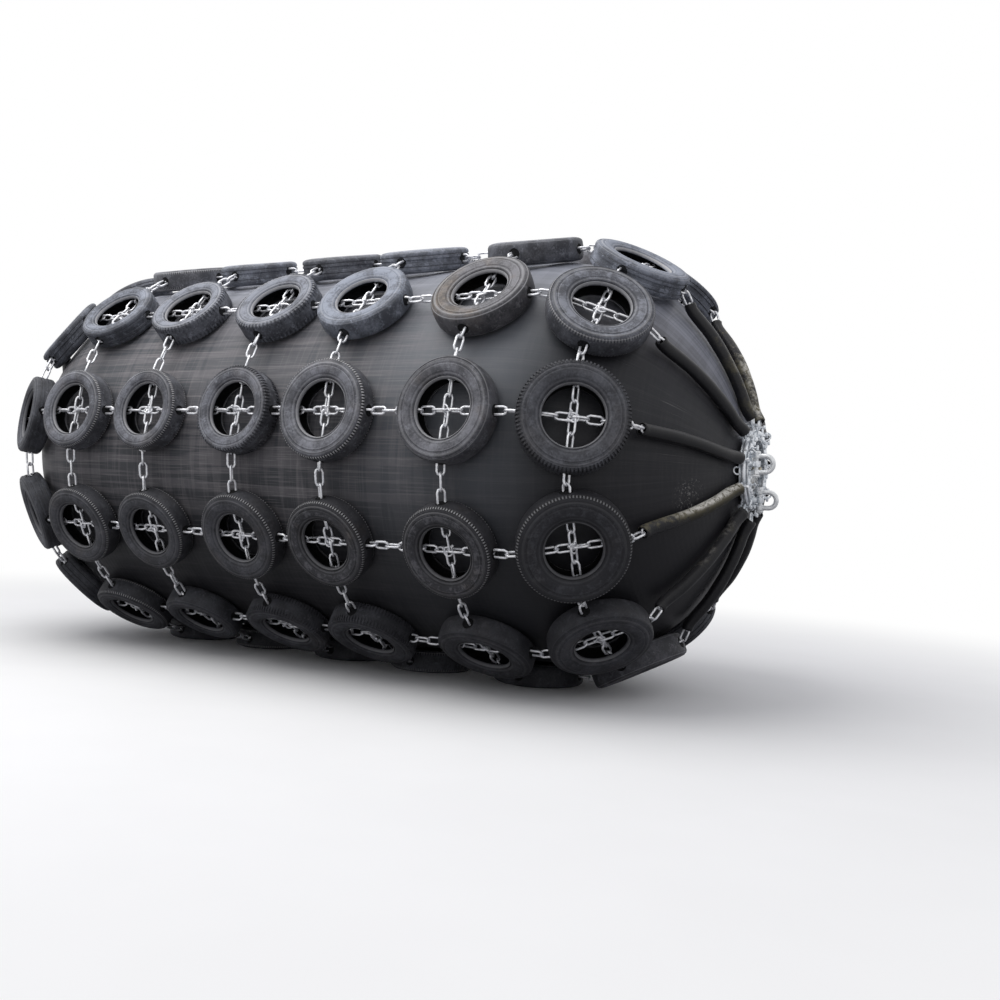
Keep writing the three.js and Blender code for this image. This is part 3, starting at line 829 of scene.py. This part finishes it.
def axialLinks(row):
    # From sleeve mouth to sleeve mouth: the spans from hub to hub, and an end run on either side
    radii = radiiOf(row)
    chance = np.random.default_rng(500 + row)
    parts = []
    for column, (near, far) in enumerate(zip(tyreSpots, tyreSpots[1:])):
        path = [spotPoint(near, 0), spotPoint(near, radii[column]), spotPoint(far, -radii[column + 1]),
                spotPoint(far, 0)]
        ups = [spotUp(near), spotUp(near), spotUp(far), spotUp(far)]
        parts.append(spanLinks(path, ups, chance, first=column)[0])
    last = tyreSpots[-1]
    for side, outer in ((1, radii[-1]), (-1, radii[0])):
        mouth, far = sleeveStart(outer)[1], spotPoint(last, outer)
        flip = np.array([side, 1, 1])
        path = np.array([spotPoint(last, 0), far, mouth + unit(mouth - far) * chainForm["intoSleeve"]])
        parts.append(spanLinks(path * flip, [spotUp(last) * flip] * 3, chance, first=1)[0])
    return inWorld(row, np.concatenate(parts))


def hoopLinks(row):
    # From each hub of this row to the same hub of the next, and which links lie before the second
    # tyre begins. They lean half a quarter turn
    chance = np.random.default_rng(700 + row)
    turn = turnMatrix("X", -rowStep)
    parts, own = [], []
    for column, spot in enumerate(tyreSpots):
        path = np.array([spotPoint(spot, 0), spotPoint(spot, 0, radiiOf(row)[column]),
                         turn @ spotPoint(spot, 0, -radiiOf(row + 1)[column]), turn @ spotPoint(spot, 0)])
        ups = [spotUp(spot)] * 2 + [turn @ spotUp(spot)] * 2
        matrices, middle = spanLinks(path, ups, chance, column + row, math.pi / 4)
        parts.append(matrices)
        own.append(middle < spacedOn(path)[0][2])
    return inWorld(row, np.concatenate(parts)), np.concatenate(own)


def hubShackles(row):
    # One joining shackle in each hub, turned and tipped a little differently each time
    chance = np.random.default_rng(900 + row)
    matrices = []
    for spot in tyreSpots:
        turn = turnMatrix("Y", spot[2]) @ randomTurn(chance, ("Z", 0, 2 * math.pi), ("X", -0.9, 0.9))
        matrices.append(withPlace(turn, spotPoint(spot, 0) + spotUp(spot) * 0.016 - turn[:, 0] * 0.03))
    return inWorld(row, np.array(matrices))


zincChain = makeZincMaterial("zincChain", chainLook)
chainLink = linkShape(*(chainForm[name] for name in ("wire", "width", "pitch", "sides")))
hubShackle = smallShackle(0.034, 0.07, 0.014, 6)
hoops = [hoopLinks(row) for row in range(fenderForm["rows"])]
for row in range(fenderForm["rows"]):
    number = numberOf(row)
    links, own = hoops[row]
    before, theirs = hoops[row - 1]
    matrices = np.concatenate([axialLinks(row), links[own], before[~theirs]])
    shape = joinShapes([placeAll(chainLink, matrices), placeAll(hubShackle, hubShackles(row))])
    addPiece(f"netChain{number}", shape, zincChain, "galvanised_steel", [f"tyre_row_{number}"])
print("net chains made")


# The sleeves on the end chains

sleeveForm = {"radius": 0.046, "bore": 0.034, "gap": 0.004, "straight": 0.06, "endRadius": 0.395,
              "along": 36, "sides": 18, "pressed": (0.12, 0.28, 0.44, 0.6, 0.76, 0.9)}
ringForm = {
    "inner": 0.224, "outer": 0.298, "plate": 0.014, "spacing": 0.044, "standOff": 0.008, "round": 0.003,
    "sides": 96, "bar": 0.0195, "barCircle": 0.291,
}
seatShare = fenderForm["seatRadius"] / fenderForm["radius"]
bodyEnd = fenderForm["halfStraight"] + fenderForm["domeDepth"] * math.sqrt(1 - seatShare ** 2)
ringInside = bodyEnd + ringForm["standOff"]
ringMiddle = ringInside + ringForm["plate"] + ringForm["spacing"] / 2
ringOutside = ringInside + 2 * ringForm["plate"] + ringForm["spacing"]


def smoothPath(points, count):
    # A curve through all the points: between two of them it is the cubic that leaves each along
    # the line between its neighbours, and it is then spaced out evenly
    points = np.asarray(points, float)
    padded = np.concatenate([2 * points[:1] - points[1:2], points, 2 * points[-1:] - points[-2:-1]])
    t = np.linspace(0, 1, 24)[:, None]
    pieces = []
    for before, start, end, after in zip(padded, padded[1:], padded[2:], padded[3:]):
        leave, arrive = (end - before) / 2, (after - start) / 2
        pieces.append((2 * t**3 - 3 * t**2 + 1) * start + (t**3 - 2 * t**2 + t) * leave
                      + (3 * t**2 - 2 * t**3) * end + (t**3 - t**2) * arrive)
    curve = np.concatenate([pieces[0]] + [piece[1:] for piece in pieces[1:]])
    run, at = spacedOn(curve)
    where = np.linspace(0, run[-1], count)
    return at(curve, where), where


def sleeveCurve(outer):
    # Straight out of the chain, down on to the dome and along it, then in to the ring
    angle, mouth = sleeveStart(outer)
    out = unit(mouth - spotPoint(tyreSpots[-1], outer))
    lift = sleeveForm["radius"] + sleeveForm["gap"]
    start = angle + 0.15 / fenderForm["radius"]
    end = math.acos(sleeveForm["endRadius"] / fenderForm["radius"])
    points = [mouth, mouth + out * sleeveForm["straight"]]
    for share in sleeveForm["pressed"]:
        points.append(domePoint(start + share * (end - start), lift + (1 - share) ** 2 * 0.016))
    return points + [np.array([ringMiddle, 0.0, sleeveForm["endRadius"]])]


def sleeveShape(outer, seed, dirt, upwards):
    # A thick hose: its outer wall out along the curve and its bore back, joined at both lips.
    # Its radius swells and narrows a little along the way
    form = sleeveForm
    path, run = smoothPath(sleeveCurve(outer), form["along"])
    phase = np.random.default_rng(seed).uniform(0, 2 * np.pi, 4)
    swell = 1 + 0.022 * np.sin(run * 9 + phase[0]) + 0.014 * np.sin(run * 23 + phase[1])
    ends = np.minimum(1.0, np.minimum(run, run[-1] - run) / 0.25)
    path[:, 1] += ends * (0.005 * np.sin(run * 3.0 + phase[2]) + 0.002 * np.sin(run * 9 + phase[3]))
    along = unit(np.gradient(path, axis=0))
    side = unit(np.cross((0, 1, 0), along))
    ring = ringsAbout(side, np.cross(along, side), form["sides"])
    wall = path[:, None, :] + (form["radius"] * swell)[:, None, None] * ring
    far, near = (path[end] + form["radius"] * 0.86 * ring[end] + along[end] * push
                 for end, push in ((-1, 0.006), (0, -0.006)))
    bore = path[::-1, None, :] + form["bore"] * ring[::-1]
    points = np.concatenate([wall, far[None], bore, near[None]])
    # How far along, or below zero in the bore; how dirty; how far up the wall looks
    marks = np.zeros(points.shape)
    marks[:len(run), :, 0] = run[:, None]
    marks[len(run) + 1:-1, :, 0] = -1.0
    marks[..., 1] = dirt
    marks[:len(run), :, 2] = ring @ upwards
    return gridShape(points, loopRows=True, marks={"sleeveMark": marks})


sleeveLook = {
    "black": (0.008, 0.008, 0.010, 1.0), "dust": (0.120, 0.117, 0.120, 1.0),
    # The wet mud colour is partly painted shade on the underside, and the dried mud colour partly a painted
    # highlight along the top
    "mud": (0.165, 0.148, 0.098, 1.0), "wetMud": (0.034, 0.031, 0.022, 1.0),
    # The within colour is painted shade in the bore
    "driedMud": (0.84, 0.81, 0.73, 1.0), "within": (0.004, 0.004, 0.004, 1.0), "plyPitch": 0.019,
    "dirt": {("right", 2): 1.0, ("right", 6): 0.6, ("right", 5): 0.3, ("right", 1): 0.16,
             ("right", 0): 0.12, ("left", 4): 0.3},
}


def makeSleeveMaterial(look):
    material, tree, shader = startMaterial("sleeveRubber")
    place = objectPlace(tree)
    run, dirt, upper = attributeParts(tree, "sleeveMark")
    grime = useGroup(grimeGroup, place, cloudScale=6.0, gritScale=60.0, amount=0.5, softness=0.4)
    # The sleeve is painted paler towards its upper side: dust, and a painted highlight along the top
    dustAndTopHighlight = upper.rise(0.1, 0.95) * 0.42 + grime["Mask"] * 0.35
    colour = blend(dustAndTopHighlight, look["black"], look["dust"])
    # Mud lies thicker towards the ring and on the upper side. Its top edge has dried pale and carries a
    # painted highlight, and its underside is darker as painted shade
    inward = run.rise(0.12, 0.55)
    thick = upper * 0.10 + inward * 0.20 + noise(place, 10.0, 6.0, 0.74) + dirt * 0.24
    mud = thick.rise(0.74, 0.92) * dirt.rise(0.0, 0.5)
    driedAndHighlight = upper.rise(0.10, 0.70) * noise(place, 30.0, 5.0, 0.74).rise(0.40, 0.54)
    mudColour = blend(upper.rise(-0.5, 0.6), look["wetMud"], look["mud"])
    mudColour = blend(driedAndHighlight * inward, mudColour, look["driedMud"])
    colour = blend(mud, colour, mudColour)
    # The bore is painted near black as painted shade
    colour = blend(run.rise(-0.2, -0.05), look["within"], colour)
    plies = (run * (2 * math.pi / look["plyPitch"])).calc("SINE")
    bump = bumpOf(plies * 0.12 + mud * 1.6 + noise(place, 30.0, 4.0), 0.5, 0.0022)
    feed(shader, {"Base Color": colour, "Roughness": mud.most(grime["Mask"]) * 0.36 + 0.44, "Normal": bump,
                  "Specular IOR Level": 0.32})
    return material


sleeveMaterial = makeSleeveMaterial(sleeveLook)
for row in range(fenderForm["rows"]):
    number = numberOf(row)
    for side, end, mirror in (("right", -1, (1, 1, 1)), ("left", 0, (-1, -1, 1))):
        # Which way is up in the sleeve's own frame, before it is turned to its place
        upwards = rowMatrix(row)[2, :3] * mirror
        dirt = sleeveLook["dirt"].get((side, row), 0.0)
        seed = 40 + 2 * row + (side == "left")
        sleeve = bySide(sleeveShape(radiiOf(row)[end], seed, dirt, upwards), side)
        addPiece(f"hoseSleeve{side.capitalize()}{number}", placeAll(sleeve, rowMatrix(row)),
                 sleeveMaterial, "sleeve_rubber", [f"chain_sleeve_{side}_{number}"], 55)
print("22 sleeves made")


# The end rings with their bolts and shackles

# Places of the towing shackles as (angle round the ring, turn about the fender's length)
towForm = {
    "places": [(math.radians(84), 0.0), (math.radians(158), math.radians(10))], "radius": 0.252,
    "gap": 0.084, "wire": 0.037, "reach": 0.142, "pin": 0.0145, "eye": 0.029, "head": 0.027,
    "headThickness": 0.016, "lugThickness": 0.046, "standOff": 0.048,
}
# Bolts by shank radius, length, head radius, head length, nut length and sides; the link by wire,
# width, pitch and sides; the small shackles by gap, reach, wire and sides
ringBolts = {"through": (0.0115, ringOutside - ringInside, 0.0185, 0.011, 0.014, 12),
             "small": (0.0085, ringForm["plate"], 0.0145, 0.009, 0.010, 10)}
ringLinks = {"link": (0.0215, 0.070, 0.098, 8), "bow": (0.040, 0.092, 0.018, 8),
             "loose": (0.030, 0.066, 0.014, 8)}
ringLook = {"pale": (0.93, 0.95, 0.98, 1.0), "dull": (0.60, 0.64, 0.68, 1.0), "stain": 0.16,
            "scale": 18.0, "metal": 0.6}
shackleLook = {"pale": (0.93, 0.94, 0.95, 1.0), "dull": (0.70, 0.72, 0.73, 1.0), "stain": 0.10,
               "scale": 22.0, "metal": 0.5}


def roundedRing(inner, outer, start, end, corner, sides):
    # A flat ring with its four edges rounded over, turned about X
    soft = corner * 0.3
    profile = [(inner + corner, start), (outer - corner, start), (outer - soft, start + soft),
               (outer, start + corner), (outer, end - corner), (outer - soft, end - soft),
               (outer - corner, end), (inner + corner, end), (inner + soft, end - soft),
               (inner, end - corner), (inner, start + corner), (inner + soft, start + soft)]
    return placeAll(turned(profile, sides, loop=True), zOnToX)


def bevelledEye(bore, eye, half, bevel):
    # A short round eye along Z with a hole through it
    return turned([(bore, -half), (eye - bevel, -half), (eye, -half + bevel), (eye, half - bevel),
                   (eye - bevel, half), (bore, half)], 24, loop=True)


def towMatrix(angle, spin):
    # A towing shackle's frame: X out along the fender, and Z along its pin until it is spun
    across, up = -towForm["radius"] * math.sin(angle), towForm["radius"] * math.cos(angle)
    return withPlace(turnMatrix("X", spin), (ringOutside + towForm["standOff"], across, up + centre[2]))


def towLug():
    # The eye that carries a towing shackle: a round boss about the pin and a neck back to the ring
    form = towForm
    half = form["lugThickness"] / 2
    boss = bevelledEye(form["pin"] + 0.002, form["eye"], half, 0.004)
    # The neck's section is a rounded oblong that narrows from the ring to the boss
    along = np.array([-form["standOff"] - 0.004, -form["standOff"] + 0.004, -0.030, -0.018])
    wide = np.array([0.046, 0.040, 0.029, 0.025])
    around = roundSteps(24)
    softCos, softSin = (np.sign(wave) * np.abs(wave) ** 0.5 for wave in (np.cos(around), np.sin(around)))
    neck = np.stack([np.repeat(along[:, None], 24, 1), wide[:, None] * softCos,
                     half * 0.92 * np.ones((4, 1)) * softSin], -1)
    return joinShapes([boss, gridShape(neck)])


def ringShape():
    form, inner, outer = ringForm, ringForm["inner"], ringForm["outer"]
    parts = [placeAll(roundedRing(inner, outer, start, start + form["plate"], form["round"], form["sides"]),
                      lifted) for start in (ringInside, ringOutside - form["plate"])]
    # A round bar runs between the plates at the rim: the shackles of the sleeves' chains hook on it
    turn = roundSteps(14)
    bar = np.array([form["barCircle"], ringMiddle])
    bar = bar + form["bar"] * np.stack([np.cos(turn), np.sin(turn)], -1)
    parts.append(placeAll(placeAll(turned(bar, form["sides"], loop=True), zOnToX), lifted))
    chance = np.random.default_rng(31)
    bolt, smallBolt = (placeAll(boltShape(*ringBolts[name]), zOnToX) for name in ("through", "small"))
    link = linkShape(*ringLinks["link"])
    bow, loose = (smallShackle(*ringLinks[name]) for name in ("bow", "loose"))
    crossBar = turned([(0.0085, -0.019), (0.010, -0.016), (0.010, 0.016), (0.0085, 0.019)], 8)
    tee = joinShapes([placeAll(turned([(0.0075, 0), (0.0075, 0.046)], 8), zOnToX),
                      placeAll(crossBar, acrossY((0.046, 0, 0)))])

    def put(shape, angle, turn, x, reach):
        # The shape turned, at X and so far out from the axis, at the angle round the ring
        parts.append(placeAll(placeAll(shape, withPlace(turn, (x, 0, reach))), frameAt(angle)))

    hooked = np.stack([(0.0, 0.0, -1.0), (1.0, 0.0, 0.0), (0.0, -1.0, 0.0)], -1)
    upright = np.stack([(0.0, 0.0, 1.0), (0.0, 1.0, 0.0), (-1.0, 0.0, 0.0)], -1)
    for row in range(fenderForm["rows"]):
        angle = math.pi - row * rowStep
        put(bolt, angle + 0.5 * rowStep, np.eye(3), ringInside, (inner + outer) / 2)
        for share in (0.22, 0.78):
            put(smallBolt, angle + share * rowStep, np.eye(3), ringOutside - form["plate"], inner + 0.020)
        # The bow hooks on the bar and its bolt holds the last link of the sleeve's chain
        lean = turnMatrix("X", chance.uniform(-0.12, 0.12))
        put(bow, angle, lean @ hooked, ringMiddle, form["barCircle"] + 0.058)
        put(link, angle, lean @ upright, ringMiddle, form["barCircle"] + 0.104)
        # Tees and loose small shackles stand about between them, some on each plate
        if row % 2 == 0 or row == 3:
            turn = randomTurn(chance, ("Y", -0.5, 0.1), ("Z", -0.35, 0.35), ("X", 0, 3))
            put(tee, angle + rowStep * chance.uniform(0.05, 0.3), turn, ringOutside - 0.004, outer - 0.030)
        if row % 3 != 1:
            turn = randomTurn(chance, ("Y", -2.6, -2.0), ("X", -1.2, 1.2))
            put(loose, angle + rowStep * 0.42, turn, ringInside + 0.014, outer - 0.012)
        else:
            turn = randomTurn(chance, ("Y", -0.9, -0.4), ("X", -1.2, 1.2))
            put(loose, angle + rowStep * 0.62, turn, ringOutside - 0.010, outer - 0.016)
    return joinShapes(parts + [placeAll(towLug(), towMatrix(*place)) for place in towForm["places"]])


def towBow():
    # A stout wire along the bow's path, with a round eye about the pin at each leg
    form = towForm
    offset = form["gap"] / 2 + form["wire"] / 2
    path = bowPath(2 * offset, form["reach"] - form["wire"] / 2, 1.0, 17)
    eye = bevelledEye(form["pin"] + 0.001, form["eye"], form["wire"] / 2, 0.005)
    eyes = [placeAll(eye, acrossY((0, end * offset, 0))) for end in (-1, 1)]
    # Turned so that the pin runs along Z and the bow stands out along X
    bow = joinShapes([tube(path, (0, 0, 1), form["wire"] / 2, 16)] + eyes)
    return placeAll(bow, withPlace(turnMatrix("X", math.pi / 2)))


def towPin():
    form = towForm
    face = form["gap"] / 2 + form["wire"] + fenderForm["clearance"]
    end = face + form["headThickness"]
    pin, head = form["pin"], form["head"]
    shank = turned([(pin, -face - 0.004), (pin, face + 0.004)], 24)
    top = turned([(head, face), (head * 1.02, face + 0.003), (head * 1.02, end - 0.004),
                  (head * 0.84, end)], 24)
    nut = turned([(head, -face), (head, -end + 0.003), (head * 0.88, -end)], 6)
    tail = turned([(pin, -end + 0.002), (pin, -end - 0.006), (pin * 0.8, -end - 0.009)], 16)
    cotter = tube([[-0.026, 0, -end - 0.003], [0, 0, -end - 0.004], [0.026, 0, -end - 0.003]],
                  (0, 0, 1), 0.0028, 6)
    return joinShapes([shank, top, nut, tail, cotter])


zincRing = makeZincMaterial("zincRing", ringLook)
zincShackle = makeZincMaterial("zincShackle", shackleLook)
ring, bow, pin = ringShape(), towBow(), towPin()
for side in ("right", "left"):
    label = side.capitalize()
    addPiece(f"ringAssembly{label}", bySide(ring, side), zincRing, "galvanised_steel",
             [f"net_ring_{side}"], 38)
    for index, place in enumerate(towForm["places"], 1):
        for name, shape, node, sharpAngle in (("towBow", bow, "towing_shackle", 40),
                                              ("towPin", pin, "towing_pin", 38)):
            placed = bySide(placeAll(shape, towMatrix(*place)), side)
            addPiece(f"{name}{label}{index}", placed, zincShackle, "galvanised_steel",
                     [f"{node}_{side}_{index}"], sharpAngle)
print("end rings and towing shackles made")


# The end flanges, their covers and the valves

flangeForm = {"radius": 0.205, "bore": 0.110, "thickness": 0.026, "cover": 0.160, "coverThickness": 0.018,
              "boltCircle": 0.135, "bolts": 8}
flangeLook = {"pale": (0.46, 0.47, 0.48, 1.0), "dull": (0.24, 0.25, 0.26, 1.0), "stain": 0.6,
              "scale": 14.0, "metal": 0.7}
valveLook = {"pale": (0.50, 0.46, 0.36, 1.0), "dull": (0.30, 0.27, 0.21, 1.0), "stain": 0.4,
             "scale": 60.0, "metal": 0.9}
flangeStart = bodyEnd + fenderForm["clearance"]
coverStart = flangeStart + flangeForm["thickness"] + fenderForm["clearance"]
coverEnd = coverStart + flangeForm["coverThickness"]


def coverShape():
    # A round plate with a raised rim, and hexagon bolts with washers round it
    rim = flangeForm["cover"]
    plate = turned([(rim - 0.003, coverStart), (rim, coverStart + 0.003), (rim, coverEnd - 0.004),
                    (rim - 0.004, coverEnd), (0.100, coverEnd), (0.097, coverEnd - 0.003),
                    (0.075, coverEnd - 0.003)], 64)
    head = turned([(0.013, coverEnd - 0.002), (0.013, coverEnd + 0.009), (0.0115, coverEnd + 0.011)], 6)
    washer = turned([(0.019, coverEnd - 0.002), (0.019, coverEnd + 0.0022), (0.0175, coverEnd + 0.003)], 20)
    tip = turned([(0.0075, coverEnd + 0.009), (0.0075, coverEnd + 0.013), (0.006, coverEnd + 0.014)], 12)
    turns = [turnMatrix("X", angle) for angle in roundSteps(flangeForm["bolts"])]
    places = [withPlace(turn, turn @ np.array([0, 0, flangeForm["boltCircle"]])) for turn in turns]
    bolt = placeAll(joinShapes([head, washer, tip]), zOnToX)
    return joinShapes([placeAll(plate, zOnToX), placeAll(bolt, places)])


def valveShape(profile, knurls):
    # A fitting turned from (radius, distance out, whether knurled). Where it is knurled its radius
    # dips at every other step round
    radius, out, knurled = (column[:, None] for column in np.array(profile).T)
    angle = roundSteps(knurls * 2)
    reach = radius * (1 - knurled * np.where(np.arange(knurls * 2) % 2, 0.06, 0.0))
    out = np.repeat(out + coverEnd + fenderForm["clearance"], knurls * 2, 1)
    return gridShape(np.stack([out, reach * np.cos(angle), reach * np.sin(angle)], -1))


valves = {
    "right": ("air_valve", [
        (0.029, 0.0, 0), (0.030, 0.003, 0), (0.030, 0.011, 0), (0.027, 0.014, 0), (0.018, 0.016, 0),
        (0.0165, 0.038, 0), (0.021, 0.040, 1), (0.023, 0.043, 1), (0.023, 0.054, 1), (0.019, 0.058, 0)]),
    "left": ("safety_valve", [
        (0.043, 0.0, 0), (0.044, 0.003, 0), (0.044, 0.013, 0), (0.040, 0.016, 0), (0.028, 0.018, 0),
        (0.027, 0.029, 0), (0.034, 0.031, 1), (0.036, 0.034, 1), (0.036, 0.047, 1), (0.031, 0.052, 0),
        (0.012, 0.052, 0)]),
}
flangeSteel = makeZincMaterial("flangeSteel", flangeLook)
valveBrass = makeZincMaterial("valveBrass", valveLook)
flangeEnd = flangeStart + flangeForm["thickness"]
flangeRing = roundedRing(flangeForm["bore"], flangeForm["radius"], flangeStart, flangeEnd, 0.004, 72)
for side, (node, profile) in valves.items():
    for name, shape, *rest in (
            ("flangePlate", flangeRing, flangeSteel, "flange_steel", [f"end_flange_{side}"], 38),
            ("coverPlate", coverShape(), flangeSteel, "flange_steel", [f"end_cover_{side}"], 38),
            ("valveBody", valveShape(profile, 22), valveBrass, "valve_brass", [node], 30)):
        addPiece(name + side.capitalize(), bySide(placeAll(shape, lifted), side), *rest)
print("flanges, covers and valves made")


# Floor, light and camera

studio = {
    "sky": (0.93, 0.94, 1.0, 1.0), "skyStrength": 0.70, "white": (1, 1, 1, 1),
    "lampPower": 490.0, "lampSize": 9.0, "lampPlace": (-1.5, -3.0, 8.5),
    "floorSize": 90.0, "floorPale": (0.95, 0.945, 0.93, 1.0), "floorDusty": (0.93, 0.925, 0.91, 1.0),
    "floorBounce": (0.20, 0.20, 0.21, 1.0), "floorInGloss": 0.5, "fadeStart": 4.4, "fadeEnd": 11.0,
    "place": (5.5027, -7.8461, 1.3635), "yaw": 27.886, "pitch": -0.985, "roll": 3.201, "lens": 36.91,
}


def seenBy(tree, glossShare=1.0):
    # One for rays from the camera and through glass, and a share of that for reflections
    rays = addNode(tree, "ShaderNodeLightPath").outputs
    camera, glass, gloss = (Value(rays[f"Is {kind} Ray"]) for kind in ("Camera", "Transmission", "Glossy"))
    return camera.most(glass).most(gloss * glossShare)


def mixShaders(tree, factor, first, second, output):
    mixed = tree.nodes.new("ShaderNodeMixShader")
    feed(mixed, {0: factor, 1: Value(first.outputs[0]), 2: Value(second.outputs[0])})
    tree.links.new(mixed.outputs[0], output.inputs[0])


def makeFloor(look):
    mesh = bpy.data.meshes.new("studioFloor")
    size = look["floorSize"]
    corners = [(-size, -size, 0), (size, -size, 0), (size, size, 0), (-size, size, 0)]
    mesh.from_pydata(corners, [], [(0, 1, 2, 3)])
    floor = bpy.data.objects.new("studioFloor", mesh)
    bpy.context.scene.collection.objects.link(floor)
    material, tree, shader = startMaterial("floorPaint")
    seen = seenBy(tree, look["floorInGloss"])
    place = objectPlace(tree)
    pale = blend(noise(place, 0.7, 3.0).rise(0.3, 0.7), look["floorPale"], look["floorDusty"])
    feed(shader, {"Base Color": blend(seen, look["floorBounce"], pale), "Roughness": 0.9,
                  "Specular IOR Level": 0.0})
    # Far from the fender the floor fades into the white around it
    x, y = splitVector(place)[:2]
    fade = (x * x + y * y).calc("SQRT").rise(look["fadeStart"], look["fadeEnd"])
    white = addNode(tree, "ShaderNodeEmission", {"Color": look["white"], "Strength": 1.0})
    output = next(node for node in tree.nodes if node.type == "OUTPUT_MATERIAL")
    mixShaders(tree, fade * seen, shader, white, output)
    mesh.materials.append(material)


def makeWorld(look):
    world = bpy.data.worlds.new("studioSky")
    bpy.context.scene.world = world
    world.use_nodes = True
    tree = world.node_tree
    tree.nodes.clear()
    soft = addNode(tree, "ShaderNodeBackground", {"Color": look["sky"], "Strength": look["skyStrength"]})
    white = addNode(tree, "ShaderNodeBackground", {"Color": look["white"], "Strength": 1.0})
    mixShaders(tree, seenBy(tree), soft, white, addNode(tree, "ShaderNodeOutputWorld"))


def addToScene(name, data, right, up, back, place):
    # An object whose own axes are the three directions, at the place
    thing = bpy.data.objects.new(name, data)
    thing.matrix_world = Matrix(np.vstack([matrixOf(right, up, back, place), [0, 0, 0, 1]]).tolist())
    bpy.context.scene.collection.objects.link(thing)
    return thing


def makeLamp(look):
    data = bpy.data.lights.new("softBox", "AREA")
    data.energy, data.size, data.shape = look["lampPower"], look["lampSize"], "DISK"
    place = np.array(look["lampPlace"])
    back = unit(place - np.array(centre))
    right = unit(np.cross((0, 1, 0), back))
    addToScene("softBox", data, right, np.cross(back, right), back, place)


def makeCamera(look):
    # The view direction turns left by the yaw and down by the pitch; the frame is then rolled
    yaw, pitch, roll = (math.radians(look[name]) for name in ("yaw", "pitch", "roll"))
    level, down = math.cos(pitch), math.sin(pitch)
    forward = np.array([-math.sin(yaw) * level, math.cos(yaw) * level, -down])
    sideways = np.array([math.cos(yaw), math.sin(yaw), 0.0])
    upright = np.cross(sideways, forward)
    right = sideways * math.cos(roll) + upright * math.sin(roll)
    up = upright * math.cos(roll) - sideways * math.sin(roll)
    data = bpy.data.cameras.new("photoCamera")
    data.lens, data.sensor_width, data.clip_end = look["lens"], 36.0, 300.0
    bpy.context.scene.camera = addToScene("photoCamera", data, right, up, -forward, look["place"])


makeFloor(studio)
makeWorld(studio)
makeLamp(studio)
makeCamera(studio)
bpy.context.scene.view_settings.view_transform = "Standard"
print("floor, light and camera made")
